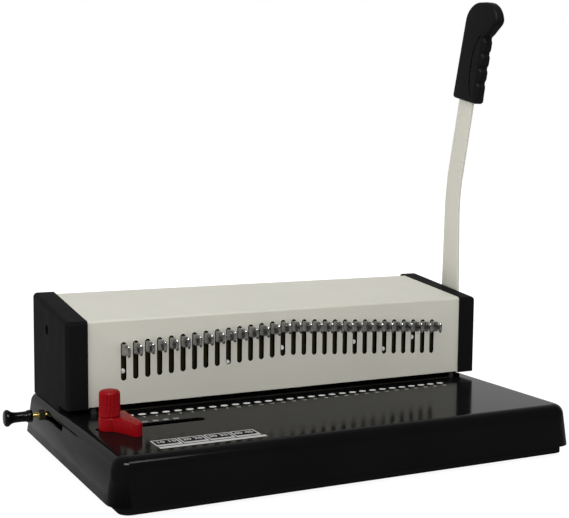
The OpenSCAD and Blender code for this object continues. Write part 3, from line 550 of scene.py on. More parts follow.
@dataclass(frozen=True)
class Coating:
    """An opaque finish, such as paint, plastic or ink, with mottling, roughness and fine relief."""

    name: str
    colour: tuple
    mottle: float
    roughness: tuple
    grain: float
    relief: float
    ior: float

    def make(self) -> bpy.types.Material:
        """Makes the finish.

        Returns:
            The material.
        """
        nodes = Nodes(self.name)
        nodes.tint(nodes.noise(scale=14.0, detail=4.0), self.colour, self.mottle)
        nodes.roughness(nodes.noise(scale=55.0, detail=5.0), *self.roughness)
        nodes.bump(nodes.noise(self.grain, detail=2.0), self.relief)
        nodes.shader.inputs["IOR"].default_value = self.ior
        return nodes.material


@dataclass(frozen=True)
class Metal:
    """A bare metal with brush lines along one axis."""

    name: str
    colour: tuple
    roughness: tuple
    brush: tuple
    relief: float = 0.004
    mottle: float = 0.12

    def make(self) -> bpy.types.Material:
        """Makes the metal.

        Returns:
            The material.
        """
        nodes = Nodes(self.name)
        lines = nodes.noise(scale=1400.0, detail=2.0, stretch=self.brush)
        nodes.tint(nodes.noise(scale=90.0, detail=4.0), self.colour, self.mottle)
        nodes.roughness(lines, *self.roughness)
        nodes.bump(lines, self.relief)
        nodes.shader.inputs["Metallic"].default_value = 1.0
        return nodes.material


FINISHES = {finish.name: finish for finish in (
    Coating("ivory_paint", (0.605, 0.594, 0.52), 0.015, (0.4, 0.52), 1300.0, 0.012, 1.38),
    Coating("gloss_black", (0.0046, 0.0046, 0.0048), 0.12, (0.09, 0.17), 420.0, 0.003, 1.12),
    Coating("satin_black", (0.0076, 0.0076, 0.0078), 0.06, (0.46, 0.54), 2200.0, 0.02, 1.05),
    Coating("grip_black", (0.0072, 0.0072, 0.0074), 0.12, (0.45, 0.58), 2400.0, 0.025, 1.12),
    Coating("handle_black", (0.003, 0.003, 0.0032), 0.1, (0.14, 0.24), 1500.0, 0.006, 1.2),
    Coating("red_plastic", (0.228, 0.0028, 0.005), 0.08, (0.24, 0.36), 700.0, 0.006, 1.14),
    Coating("rubber", (0.012, 0.012, 0.012), 0.15, (0.7, 0.85), 1800.0, 0.04, 1.3),
    Coating("white_ink", (0.75, 0.75, 0.74), 0.05, (0.45, 0.6), 2600.0, 0.01, 1.3),
    Coating("label_ink", (0.47, 0.47, 0.46), 0.06, (0.45, 0.6), 2600.0, 0.01, 1.3),
    Coating("oiled_steel", (0.023, 0.019, 0.009), 0.35, (0.35, 0.55), 1500.0, 0.02, 1.1),
    # near white: a painted glint on the screw heads behind the slots, in place of a highlight on bare steel
    Coating("screw_glint_white", (0.86, 0.86, 0.84), 0.08, (0.22, 0.32), 2600.0, 0.004, 1.5),
    # near black: bare cut edges with painted shade in the slots, and painted shade in the grip's pad grooves
    Coating("bare_edge_and_shade", (0.0012, 0.0012, 0.001), 0.2, (0.55, 0.7), 1500.0, 0.01, 1.04),
    Metal("dark_steel", (0.09, 0.088, 0.08), (0.35, 0.5), (0.05, 1.0, 1.0)),
    Metal("steel", (0.46, 0.46, 0.455), (0.25, 0.4), (0.06, 1.0, 1.0)),
    Metal("tab_steel", (0.42, 0.42, 0.42), (0.16, 0.26), (1.0, 0.08, 1.0)),
    # the same steel as the lips, darker: painted shade on the blades, a shaded copy of tab_steel
    Metal("shaded_blade_steel", (0.34, 0.34, 0.34), (0.18, 0.3), (1.0, 0.08, 1.0)),
    Metal("brass", (0.4, 0.31, 0.1), (0.25, 0.4), (0.08, 1.0, 1.0)),
)}
BARE_NODES = {
    "rubber": ("rubber_feet",),
    "satin_black": ("chip_tray",),
    "screw_glint_white": ("bar_screws",),
    "brass": ("left_shaft_bush", "right_shaft_bush"),
    "oiled_steel": ("pressure_bar", "punch_pins", "margin_nut"),
    "dark_steel": ("left_side_frame", "right_side_frame", "die_plate", "pin_guide", "cap_screws"),
    "steel": ("base_screws", "frame_screws", "tie_rod", "guide_rods", "drive_shaft", "drive_pinions",
              "shaft_collar", "return_spring", "drive_racks", "depth_stop", "guide_stud", "lever_washer",
              "lever_bolt"),
}


@cache
def material(finish: str) -> bpy.types.Material:
    """The material of a finish, made at its first use."""
    return FINISHES[finish].make()


# Sub-assemblies


@dataclass
class Base:
    """The low base with its bottom plate, and the white printing on its top."""

    top: float = 39.6
    rim: float = 4.5
    dot_y: float = -3.8
    dot_d: float = 6.0
    film: float = 0.06
    dot_flat: float = 0.8
    label_x: tuple = (-149.3, -72.6)
    label_y: tuple = (-99.0, -78.0)
    strip_end: float = -70.8
    label_texts: tuple = ("10 15", "20 25", "30 35", "40 45")
    label_rows: tuple = (4.4, 1.5, 3.4, 1.3)
    label_bar: float = 1.1
    label_gap: float = 1.0
    cell_text: tuple = (7.6, 6.4)
    dot_text: tuple = (1.1, 9.6, 3.6)
    scale_x: float = -150.0
    scale_step: float = 8.0
    scale_text: tuple = (-27.5, 4.6)
    plinth_edge: float = 0.6
    ground_share: float = 0.5
    rim_side: float = 0.4
    rim_corner: float = 14.0
    ink_spread: float = 0.022

    def build(self) -> None:
        """Makes shell, plate and printing."""
        softened_copy("base_shell", "base_skin", "gloss_black", self.rim, 20.0,
                      self.rim_share, 8)
        softened_copy("bottom_plate", "plinth", "satin_black", self.plinth_edge)
        ground = self.bar(*self.label_x, *self.label_y, self.ground_share)
        for name, surface, slot, finish in (
                ("hole_dots", self.dots(), Slot.IVORY_PAINT, "white_ink"),
                ("label_ground", ground, Slot.SATIN_BLACK, "satin_black"),
                ("setting_label", self.label(), Slot.IVORY_PAINT, "label_ink"),
                ("print_numbers", self.numbers(), Slot.IVORY_PAINT, "label_ink")):
            add_piece(name, surface, Body.MACHINE, finish)

    def rim_share(self, middle: Array) -> Array:
        """1 on the edges around the base's top and on its rounded corners, 0 elsewhere.

        Args:
            middle: (n, 3) middles of the edges, in millimetres.

        Returns:
            (n,) shares of the rim's radius.
        """
        high = middle[:, 2] > self.top - 0.1
        away = np.abs(middle[:, :2])
        span = away[high].max(0) if high.any() else np.ones(2)
        near = (away > span - self.rim_side).any(1) | (away > span - self.rim_corner).all(1)
        return (high & near).astype(float)

    def film_patch(self, outline: Array, share: float) -> Surface:
        """A film of ink: the outline raised from the base's top by a share of the film's thickness."""
        low = self.top + LIFT
        return loft(rounded_slab(outline, low, low + self.film * share, 0.0, 0.0, 1))

    def dots(self) -> Surface:
        """Dots in line with the holes: one disc, a little flatter along Y, copied at each hole's place.

        Returns:
            The dots in ink.
        """
        x = hole_row()
        offsets = np.stack([x, np.full_like(x, self.dot_y), np.zeros_like(x)], -1)
        disc = arc(self.dot_d / 2, 0.0, 360.0, 25)[:-1] * np.array([1.0, self.dot_flat])
        return self.film_patch(disc, 1.0).tiled(offsets)

    def bar(self, x0: float, x1: float, y0: float, y1: float, share: float = 1.0) -> Surface:
        """A printed rectangle."""
        return self.film_patch(np.array([[x0, y0], [x1, y0], [x1, y1], [x0, y1]]), share)

    def label(self) -> Surface:
        """A row of framed cells with a strip in front, drawn as printed bars side by side.

        Returns:
            The bars in ink.
        """
        x0, x1 = self.label_x
        y0, y1 = self.label_y
        strip, gap, foot, head = self.label_rows
        low = y0 + strip + gap
        bars = [(x0, self.strip_end, y0, y0 + strip)]
        edges = np.linspace(x0, x1 + self.label_gap, len(self.label_texts) + 1)
        for left, right in zip(edges[:-1], edges[1:] - self.label_gap):
            bars += [(left, right, low, low + foot), (left, right, y1 - head, y1)]
            bars += [(x, x + self.label_bar, low + foot, y1 - head) for x in (left, right - self.label_bar)]
        return reduce(Surface.joined, (self.bar(*sides) for sides in bars))

    def numbers(self) -> Surface:
        """Plain numbers: two in each cell, one by each dot and a scale behind the guide's slot.

        Returns:
            The numbers in ink.
        """
        x0, x1 = self.label_x
        cell = (x1 - x0) / len(self.label_texts)
        drop, size = self.cell_text
        y = self.label_y[1] - drop
        items = [(text, x0 + cell * (k + 0.5), y, size) for k, text in enumerate(self.label_texts)]
        left, drop, size = self.dot_text
        items += [(str(k + 1), x - left, self.dot_y - drop, size) for k, x in enumerate(hole_row())]
        items += [(str(10 * k), self.scale_x + self.scale_step * k, *self.scale_text) for k in range(1, 6)]
        return reduce(Surface.joined, (self.number(*item) for item in items))

    def number(self, text: str, x: float, y: float, size: float) -> Surface:
        """One printed number.

        Args:
            text: the digits.
            x: middle of the number.
            y: its foot.
            size: height of its line, in millimetres.

        Returns:
            The number as a film of ink.
        """
        curve = bpy.data.curves.new("number", "FONT")
        curve.body = text
        curve.align_x = "CENTER"
        curve.offset = self.ink_spread
        curve.extrude = self.film / 2 / size
        holder = new_object("number", curve)
        made = holder.evaluated_get(bpy.context.evaluated_depsgraph_get()).to_mesh()
        points = mesh_points(made) * size + np.array([x, y, self.top + LIFT + self.film / 2])
        surface = Surface(points, [tuple(p.vertices) for p in made.polygons])
        bpy.data.objects.remove(holder)
        bpy.data.curves.remove(curve)
        return surface


@dataclass
class PunchHead:
    """The sheet cover, the two end caps and what shows of the punch behind the slots."""

    panel_y: float = 10.0
    sheet: float = 1.2
    screw_rows: tuple = (((0, 9, 24), 70.0), ((14, 21, 27), 78.0))
    dome_r: float = 1.8
    dome_h: float = 0.45
    cap_round: float = 2.5
    cap_low: float = 42.0
    slot_w: float = 4.3
    slot_len: float = 29.2
    slot_foot: float = 63.1
    slot_band: tuple = (0.4, -0.05)
    band_play: tuple = (0.04, 0.05)
    cover_edge: float = 0.3
    cap_face: float = 0.3
    cap_recess: float = 8.0
    cap_rest: float = 0.14

    def build(self) -> None:
        """Makes cover, caps, the slot edges with painted shade, and screw domes painted near white as
        glints.
        """
        softened_copy("punch_cover", "cover_sheet", "ivory_paint", self.cover_edge)
        for side in ("left", "right"):
            softened_copy(f"{side}_end_cap", f"{side}_cap_moulding", "satin_black",
                          self.cap_round, 30.0, self.cap_share, 4)
        # near-black bands in the slots: bare cut edges with painted shade
        add_piece("slot_edge_shade", self.slot_edge_shade(), Body.MACHINE, "bare_edge_and_shade")
        # screw domes in near-white paint: painted glints seen through the slots
        add_piece("screw_domes", self.screw_domes(), Body.PUNCH, "screw_glint_white")

    def cap_share(self, middle: Array) -> Array:
        """1 on the edges round a cap's outer side, cap_rest elsewhere and around the screw's recess.

        Args:
            middle: (n, 3) middles of the edges, in millimetres.

        Returns:
            (n,) shares of the cap's radius.
        """
        x = np.abs(middle[:, 0])
        screw = node_points("cap_screws").mean(0) / MM
        near = np.linalg.norm(middle[:, 1:] - screw[1:], axis=1) < self.cap_recess
        outside = (x > x.max() - self.cap_face) & ~near & (middle[:, 2] > self.cap_low)
        return np.where(outside, 1.0, self.cap_rest)

    def screw_domes(self) -> Surface:
        """A low dome on each screw of the bar: radius r cos t, height h sin t, turned to the front.

        Returns:
            The domes in their places.
        """
        t = np.radians(np.linspace(0.0, 86.0, 9))
        turned = revolve(np.stack([self.dome_r * np.cos(t), self.dome_h * np.sin(t)], -1), 32)
        front = node_points("bar_screws")[:, 1].min() / MM
        points = turned.points[:, [0, 2, 1]] * np.array([1.0, -1.0, 1.0])
        points = points + np.array([0.0, front - LIFT, 0.0])
        x = hole_row()[[k for row, _ in self.screw_rows for k in row]]
        z = np.array([height for row, height in self.screw_rows for _ in row])
        return Surface(points, turned.faces).tiled(np.stack([x, np.zeros_like(x), z], -1))

    def slot_edge_shade(self) -> Surface:
        """The bare cut edges of the slots with painted shade: a thin near-black band round each slot that
        darkens its wall as shade would, copied along the chevron.

        The outline is two half circles of slot_w joined by straight sides. The band is a small
        rectangle carried around it: just inside the slot's wall, as deep as the sheet.

        Returns:
            The bands in their places.
        """
        r = self.slot_w / 2
        rise = self.slot_len - 2 * r
        outline = np.vstack([arc(r, 0.0, 180.0, 13, (0.0, r + rise)), arc(r, 180.0, 360.0, 13, (0.0, r))])
        inner, outer = inset_outline(outline, np.array(self.slot_band))
        near, far = self.panel_y + self.band_play[0], self.panel_y + self.sheet + self.band_play[1]
        plan = np.stack([outer, outer, inner, inner, outer])
        depth = np.array([near, far, far, near, near])[:, None]
        rings = np.stack([plan[..., 0], np.broadcast_to(depth, plan.shape[:2]), plan[..., 1]], -1)
        return loft(rings, closed_ends=False).tiled(chevron_row(0.0, self.slot_foot))


@dataclass
class PinSelectors:
    """The row of steel tabs: a flat blade with a waist, and an upright lip at its outer end."""

    panel_y: float = 10.0
    inner_y: float = 25.55
    out: float = 14.6
    thick: float = 2.4
    side: float = 0.55
    height: float = 9.2
    waist: float = 4.4
    turn: float = 2.6
    lip: float = 8.4
    lip_t: float = 2.5
    lip_up: float = 0.75
    belly: float = 1.5
    crest: float = 0.4
    top_at_end: float = 90.7
    full_share: float = 0.575
    corner: float = 0.4
    foot_corner: float = 0.3
    lip_power: float = 2.9
    rim: float = 0.22
    shoulder: float = 1.0
    set_ranks: tuple = (2, 5)

    def build(self) -> None:
        """Makes the three sets of tabs."""
        k = np.arange(HOLES)
        rank = np.minimum(k, HOLES - 1 - k)
        inner, centre = self.set_ranks
        sets = ((Body.OUTER_SELECTORS, rank < inner),
                (Body.INNER_SELECTORS, (rank >= inner) & (rank < centre)),
                (Body.CENTRE_SELECTORS, rank >= centre))
        blade, lip = self.blade(), self.end_lip()
        for body, chosen in sets:
            offsets = chevron_row(-self.side, self.top_at_end - self.height / 2)[chosen]
            # blades in a darker copy of the lips' steel: painted shade
            add_piece(f"{body.value}_tabs", blade.tiled(offsets), body, "shaded_blade_steel",
                      [body.value], 40.0)
            add_piece(f"{body.value}_lips", lip.tiled(offsets), body, "tab_steel",
                      smooth_angle=40.0)

    def blade(self) -> Surface:
        """The blade: its side outline as a thin slab across X, higher outside the cover than inside.

        Returns:
            One blade, around its tab's middle.
        """
        outer = self.panel_y - self.out
        full = self.panel_y - self.full_share * self.out
        shoulder = self.panel_y + self.shoulder
        half, waist, lift = self.height / 2, self.waist / 2, self.lip_up
        head, foot = half + self.crest, self.belly - half
        step, low = self.corner, self.foot_corner
        outline = np.array([[self.inner_y, -half], [self.inner_y, half], [shoulder, half],
                            [shoulder - self.crest, head], [full + step, head], [full, head - step],
                            [full, lift + waist], [outer + step, lift + waist], [outer + step, lift - waist],
                            [full, lift - waist], [full, foot + low], [full + low, foot],
                            [shoulder - self.belly, foot], [shoulder, -half]])
        slab = loft(rounded_slab(outline, -self.thick / 2, self.thick / 2, self.rim, self.rim, 3))
        return Surface(slab.points[:, [2, 0, 1]], slab.faces)

    def end_lip(self) -> Surface:
        """The lip: a cushion |x/a|^p + |y/b|^p + |z/c|^p = 1, p = lip_power, on two angles.

        Returns:
            One lip, around its tab's middle.
        """
        p = 2.0 / self.lip_power
        lat = np.radians(np.linspace(-90.0, 90.0, 23)[1:-1])[:, None]
        lon = np.linspace(0.0, 2 * np.pi, 40, endpoint=False)[None, :]

        def power(value: Array) -> Array:
            """Signed power of a sine or cosine."""
            return np.sign(value) * np.abs(value) ** p

        a, b, c = self.turn / 2, self.lip_t / 2, self.lip / 2
        outer = self.panel_y - self.out
        x = -self.thick / 2 + a + a * power(np.cos(lat)) * power(np.cos(lon))
        y = outer + b + b * power(np.cos(lat)) * power(np.sin(lon))
        z = self.lip_up + c * power(np.sin(lat)) + 0.0 * lon
        return loft(np.stack([x, y, z], -1))


@dataclass
class Lever:
    """The bent flat lever with its moulded grip."""

    shaft_y: float = 51.5
    shaft_z: float = 77.0
    inner_x: float = 184.0
    thick: float = 2.5
    foot_w: float = 26.0
    mid_w: float = 20.6
    tip_w: float = 20.0
    straight: float = 100.0
    bend_r: float = 194.0
    bend: float = 12.5
    neck: float = 62.0
    grip_len: float = 66.4
    grip_head: float = 18.4
    head_run: float = 7.7
    head_rise: float = 1.0
    chin: float = 11.0
    grip_t: float = 10.4
    grip_back: float = 14.0
    grip_front: float = 18.4
    flare: float = 2.0
    foot_round: float = 3.0
    rim: float = 2.7
    fuller: float = 1.5
    chin_up: float = 2.0
    chin_leg: float = 3.8
    notch: float = 2.0
    notch_pitch: float = 12.6
    notches: int = 4
    chin_drop: float = 10.5
    tang_gap: float = 14.0
    tang_taper: float = 2.0
    bar_rim: float = 0.6
    fade: float = 6.0
    pad_low: float = 4.0
    pad_up: float = 3.0
    pad_u: float = 5.5
    pad_lead: float = 6.3
    pad_lap: float = 0.6
    swell: float = 0.45
    dip: float = 0.8
    sink: float = 0.1
    root: float = 0.3
    groove_shade_u: tuple = (-1.2, 0.6)
    groove_shade_up: float = 0.05

    @property
    def bend_len(self) -> float:
        """Length of the bend along the lever."""
        return self.bend_r * math.radians(self.bend)

    @property
    def length(self) -> float:
        """Length from the shaft to the grip."""
        return self.straight + self.bend_len + self.neck

    @property
    def notch_top(self) -> float:
        """Height of the uppermost finger notch above the grip's foot, at the chin's corner."""
        return self.grip_len - self.chin_drop

    def line(self, s: Array) -> tuple:
        """Middle line: straight up, then an arc of bend_r forwards, then straight on.

        Args:
            s: lengths from the shaft.

        Returns:
            y, z and forward turn in radians at each length.
        """
        t = np.clip(s - self.straight, 0.0, self.bend_len) / self.bend_r
        rest = np.clip(s - self.straight - self.bend_len, 0.0, None)
        y = self.shaft_y - self.bend_r * (1 - np.cos(t)) - rest * np.sin(t)
        z = self.shaft_z + np.minimum(s, self.straight) + self.bend_r * np.sin(t) + rest * np.cos(t)
        return y, z, t

    def build(self) -> None:
        """Makes bar, grip and the painted shade in the grooves along the pads."""
        add_piece("lever_flat", self.flat(), Body.LEVER, "ivory_paint", ["lever_bar"], 35.0)
        add_piece("lever_handle", self.grip(), Body.LEVER, "grip_black", ["lever_grip"],
                  40.0)
        # near-black strips paint the shade of the groove at each pad's rear
        groove_shades = self.on_lever(self.groove_shade_strip(1.0).joined(self.groove_shade_strip(-1.0)))
        add_piece("grip_groove_shade", groove_shades, Body.LEVER, "bare_edge_and_shade")

    def flat(self) -> Surface:
        """The bar: its outline in side view as a slab with rounded rims, laid across X.

        Returns:
            The bar in its place.
        """
        s = np.concatenate([np.linspace(0.0, self.straight, 12),
                            self.straight + np.linspace(0.1, 1.0, 14) * self.bend_len,
                            self.length + np.linspace(-self.neck * 0.8, self.grip_len - self.tang_gap, 10)])
        y, z, t = self.line(s)
        w = np.interp(s, [0.0, self.straight, self.length, self.length + self.grip_len],
                      [self.foot_w, self.mid_w, self.tip_w, self.tip_w - self.tang_taper]) / 2
        rear = np.stack([y + w * np.cos(t), z + w * np.sin(t)], -1)
        fore = np.stack([y - w * np.cos(t), z - w * np.sin(t)], -1)
        foot = arc(self.foot_w / 2, 180.0, 360.0, 26, (self.shaft_y, self.shaft_z))
        outline = np.vstack([foot[1:-1], rear, fore[::-1]])
        slab = loft(rounded_slab(outline, 0.0, self.thick, self.bar_rim, self.bar_rim, 4))
        return Surface(slab.points[:, [2, 0, 1]] + np.array([self.inner_x, 0.0, 0.0]), slab.faces)

    def notch_depth(self, v: Array) -> Array:
        """Depth of the finger notches at a height: notch * cos^8, one wave for each notch_pitch.

        Args:
            v: heights above the grip's foot.

        Returns:
            The depth at each height.
        """
        below = (self.notch_top - v) / self.notch_pitch
        inside = np.abs(below - (self.notches - 1) / 2) < self.notches / 2
        return self.notch * np.cos(np.pi * below) ** 8 * inside

    def grip_outline(self) -> Array:
        """Side outline of the grip without its notches, forwards u and up v, anticlockwise.

        Foot with rounded corners, straight front, a straight chin that a parabola joins to the front
        circle of the head, both head circles of grip_head, and a back that flares towards the foot.

        Returns:
            (n, 2) points.
        """
        rear = np.array([self.grip_head - self.grip_back, self.grip_len])
        fore = rear + np.array([self.head_run, self.head_rise])
        turn = 90.0 + math.degrees(math.atan(self.head_rise / self.head_run))
        r, heel = self.foot_round, -self.grip_back - self.flare
        foot = np.vstack([arc(r, 184.0, 270.0, 9, (heel + r, r)),
                          arc(r, 274.0, 358.0, 9, (self.grip_front - r, r))])
        v = np.linspace(r + 0.6, self.notch_top + self.chin_up, 120)
        front = np.stack([np.full_like(v, self.grip_front), v], -1)
        tip = arc(self.grip_head, self.chin, self.chin, 1, fore)[0]
        skip = math.degrees(self.chin_leg / self.grip_head)
        head = np.vstack([arc(self.grip_head, self.chin + skip, turn, 40, fore),
                          arc(self.grip_head, turn + 4.0, 180.0, 24, rear)])
        end = tip + (front[-1] - tip) * self.chin_leg / np.linalg.norm(front[-1] - tip)
        line = front[-1] + (end - front[-1]) * np.linspace(0.08, 1.0, 14)[:, None]
        t = np.linspace(0.0, 1.0, 12)[1:-1, None]
        chin = np.vstack([line, (1 - t) ** 2 * end + 2 * t * (1 - t) * tip + t ** 2 * head[0]])
        share = np.linspace(0.04, 0.94, 26)[:, None]
        back = np.array([-self.grip_back, self.grip_len]) * (1 - share) + np.array([heel, 0.0]) * share
        return np.vstack([foot, front, chin, head, back])

    def grip(self) -> Surface:
        """The grip: its outline as a slab with round rims, notched in front, with a pad on each side.

        The rim at the front is drawn back by fuller times its inset, so the fingers meet a rounder edge.

        Returns:
            The grip in its place.
        """
        outline = self.grip_outline()
        rings = rounded_slab(outline, -self.grip_t / 2, self.grip_t / 2, self.rim, self.rim, 8)
        front = (outline[:, 0] > 0.9 * self.grip_front) & (outline[:, 1] < self.notch_top + self.chin_up)
        ends = np.minimum(outline[:, 1] - self.foot_round, self.notch_top + self.chin_up - outline[:, 1])
        reach = np.clip(ends / self.fade, 0.0, 1.0)
        rings[..., 0] -= (self.fuller - 1) * (outline[None, :, 0] - rings[..., 0]) * (front * reach)[None]
        rings[..., 0] -= self.notch_depth(rings[..., 1]) * (rings[..., 0] > 0.45 * self.grip_front)
        return self.on_lever(loft(rings).joined(self.pad(1.0)).joined(self.pad(-1.0)))

    def on_lever(self, part: Surface) -> Surface:
        """Lays a part of the grip on the lever's upper end.

        Args:
            part: the part in u forwards, v up and w to the right.

        Returns:
            The part in its place.
        """
        u, v, w = part.points.T
        oy, oz, ot = self.line(np.array([self.length]))
        c, s = math.cos(ot[0]), math.sin(ot[0])
        y, z = oy[0] - u * c - v * s, oz[0] - u * s + v * c
        return Surface(np.stack([self.inner_x + self.thick / 2 + w, y, z], -1), part.faces)

    def pad_rear(self, v: Array) -> tuple:
        """Rear line of a pad, which bows from the middle of the grip to the front at both ends.

        Args:
            v: heights above the grip's foot.

        Returns:
            The line's u, and each height's place from -1 at the pad's foot to 1 at its top.
        """
        low, high = self.pad_span
        end = (2 * v - low - high) / (high - low)
        return self.pad_u + (self.pad_front - self.pad_lead) * np.abs(end) ** 3, end

    @property
    def pad_span(self) -> tuple:
        """Lower and upper end of the pads."""
        return self.pad_low, self.notch_top + self.pad_up

    @property
    def pad_front(self) -> float:
        """Where the pads run into the rounded front."""
        return self.grip_front - self.fuller * self.rim

    def pad(self, side: float) -> Surface:
        """A pad on one side: a cushion on a grid of height v and share t from rear to front.

        Its swell falls to nothing at the borders as 1 - (2t - 1)^16, and dips at each finger notch.

        Args:
            side: 1 for the right side, -1 for the left one.

        Returns:
            The pad as a closed skin, in u, v and w.
        """
        v = np.linspace(*self.pad_span, 140)[:, None]
        t = np.linspace(0.0, 1.0, 40)[None, :]
        rear, end = self.pad_rear(v)
        u = rear + (self.pad_front + self.pad_lap - rear) * t
        dip = np.clip(self.notch_depth(v) / self.notch, 0.0, 1.0) ** 3
        border = (1 - (2 * t - 1) ** 16) * (1 - np.abs(end) ** 20)
        lift = self.swell * border * (1 - self.dip * dip) - self.sink
        top = np.stack([u, v + 0.0 * t, side * (self.grip_t / 2 + lift)], -1)
        under = np.stack([u, v + 0.0 * t, side * (self.grip_t / 2 - self.root) + 0.0 * u], -1)
        return loft(np.concatenate([top, under[:, ::-1]], 1))

    def groove_shade_strip(self, side: float) -> Surface:
        """Painted shade in the groove along a pad's rear: a flat near-black rectangle carried along the
        line, on one side.

        Args:
            side: 1 for the right side, -1 for the left one.

        Returns:
            The line, in u, v and w.
        """
        v = np.linspace(self.pad_span[0] + 1.0, self.pad_span[1] - 0.6, 90)
        u, _ = self.pad_rear(v)
        w = side * (self.grip_t / 2 + np.array([self.groove_shade_up, self.groove_shade_up, -self.root, -self.root]))
        rear, fore = self.groove_shade_u
        rings = np.stack([u[:, None] + np.array([[rear, fore, fore, rear]]), v[:, None] + np.zeros((1, 4)),
                          w[None, :] + np.zeros((len(v), 1))], -1)
        return loft(rings)


@dataclass
class EdgeGuide:
    """The red paper stop and its fluted clamping knob."""

    base_top: float = 39.6
    x: float = -163.7
    y: float = -36.0
    face: float = 15.2
    wide: float = 8.0
    height: float = 9.5
    length: float = 41.0
    ahead: float = 28.8
    toe_r: float = 4.0
    knob_d: float = 15.2
    knob_h: float = 19.0
    taper: float = 0.15
    gap: float = 0.15
    flutes: int = 18
    flute_depth: float = 0.75
    flute_fade: tuple = (0.8, 1.6)
    crown_r: float = 2.6
    hub_rim: float = 0.2
    heel_r: float = 1.2
    flank_bow: tuple = (0.8, 0.2)
    rims: tuple = (1.0, 0.2)
    play: float = 0.05

    def build(self) -> None:
        """Makes stop and knob."""
        for name, surface, body, angle in (("paper_stop", self.stop(), Body.EDGE_GUIDE, 45.0),
                                           ("stop_knob", self.knob(), Body.GUIDE_KNOB, 50.0)):
            add_piece(name, surface, body, "red_plastic", [body.value], angle)

    def stop(self) -> Surface:
        """The stop: a round hub run into a long straight face, as a slab with a rounded upper rim.

        Returns:
            The stop in its place.
        """
        r = self.knob_d / 2 + self.hub_rim
        face = self.x + self.face
        fore = self.y - self.ahead
        aft = fore + self.length
        inner = face - self.wide
        hub = arc(r, 90.0, 268.0, 26, (self.x, self.y))
        toe = np.array([inner + 0.6, fore + 2.6])
        t = np.linspace(0.08, 1.0, 8)[:, None]
        flank = hub[-1] * (1 - t) + toe * t + np.array([self.flank_bow]) * np.sin(np.pi * t)
        front = np.array([[inner + 1.0, fore + 1.4], [inner + 1.8, fore + 0.5]])
        corner = arc(self.toe_r, -90.0, 0.0, 9, (face - self.toe_r, fore + self.toe_r))
        rear = arc(self.heel_r, 0.0, 90.0, 5, (face - self.heel_r, aft - self.heel_r))
        outline = resample(np.vstack([hub, flank, front, corner, rear, [[inner + 1.0, aft]]]), 4.0)
        low, high = self.base_top + self.play, self.base_top + self.height
        return loft(rounded_slab(outline, low, high, *self.rims, 5))

    def knob(self) -> Surface:
        """The knob: a turned, tapered profile whose side is drawn in by depth * cos^4 at each flute.

        Returns:
            The knob in its place.
        """
        h, r = self.knob_h, self.knob_d / 2
        z = np.array([0.0, 0.2, 0.7, 1.2, 2.0, 0.5 * h, h - 5.2, h - 4.2, h - 3.4])
        side = np.stack([r - self.taper * z / h - np.array([0.6, 0.15, 0.0, 0, 0, 0, 0, 0, 0]), z], -1)
        rim = arc(self.crown_r, 0.0, 78.0, 10, (side[-1, 0] - self.crown_r, h - 3.2))
        crown = np.array([[0.45 * r, h - 0.12], [0.2 * r, h - 0.02], [0.6, h]])
        profile = np.vstack([side, rim, crown])
        low, high = 1.2, h - 2.2
        foot, head = self.flute_fade

        def flute(angle: Array, height: Array) -> Array:
            """Depth of the flutes at an angle and a height."""
            fade = np.clip((height - low) / foot, 0.0, 1.0) * np.clip((high - height) / head, 0.0, 1.0)
            return -self.flute_depth * fade * np.cos(self.flutes * angle / 2) ** 4

        turned = revolve(profile, self.flutes * 12, flute)
        place = np.array([self.x, self.y, self.base_top + self.height + self.gap])
        return Surface(turned.points + place, turned.faces)


@dataclass
class MarginLever:
    """The brass stud through the left side, with its black grip."""

    wall_x: float = -184.739
    y: float = 58.7
    z: float = 31.2
    slip: float = 0.740272
    nut: float = 4.0
    bare: float = 5.6
    grip: float = 22.0
    stud_d: float = 4.4
    reach_in: float = 16.0
    in_grip: float = 0.7
    thread_pitch: float = 0.8
    thread_depth: float = 0.28

    def build(self) -> None:
        """Makes stud and grip."""
        add_piece("margin_thread", self.stud(), Body.MARGIN_STOP, "brass", ["margin_stud"], 60.0)
        add_piece("margin_handle", self.handle(), Body.MARGIN_GRIP, "handle_black",
                  ["margin_grip"], 40.0)

    def outwards(self, surface: Surface, start: float) -> Surface:
        """Lays a turned piece along -X: its height becomes the distance out of the wall."""
        u, v, w = surface.points.T
        return Surface(np.stack([self.wall_x - start - w, self.y + u, self.z + v], -1), surface.faces)

    def stud(self) -> Surface:
        """The stud with a screw thread: radius r - depth * |saw(z / pitch - angle / 2 pi)|.

        Returns:
            The stud in its place.
        """
        total = self.reach_in + self.nut + self.bare + self.in_grip * self.grip
        z = np.linspace(0.0, total, 160)
        profile = np.stack([np.full_like(z, self.stud_d / 2), z], -1)

        def thread(angle: Array, height: Array) -> Array:
            """Depth of the thread at an angle and a height."""
            phase = height / self.thread_pitch - angle / (2 * np.pi)
            return -self.thread_depth * np.abs(2 * (phase - np.floor(phase + 0.5)))

        return self.outwards(revolve(profile, 24, thread), -self.reach_in)

    def handle(self) -> Surface:
        """The grip: a collar, a slim waist and a mushroom end, turned about the stud.

        Returns:
            The grip in its place.
        """
        n = self.grip
        end = arc(2.3, -35.0, 90.0, 10, (4.2, n - 3.0))
        collar = np.array([[2.4, 0.0], [4.3, 0.0], [4.65, 0.12], [4.8, 0.5], [4.8, 3.3], [4.6, 3.8],
                           [4.2, 4.2]])
        waist = np.array([[4.05, 4.9], [3.95, 7.5], [3.95, 11.0], [4.05, n - 9.0], [4.35, n - 7.2],
                          [4.9, n - 5.8]])
        tip = np.array([[3.6, n - 0.62], [2.6, n - 0.45], [1.2, n - 0.4]])
        profile = np.vstack([collar, waist, end, tip])
        return self.outwards(revolve(profile, 64), self.slip + self.nut + self.bare)


# Studio


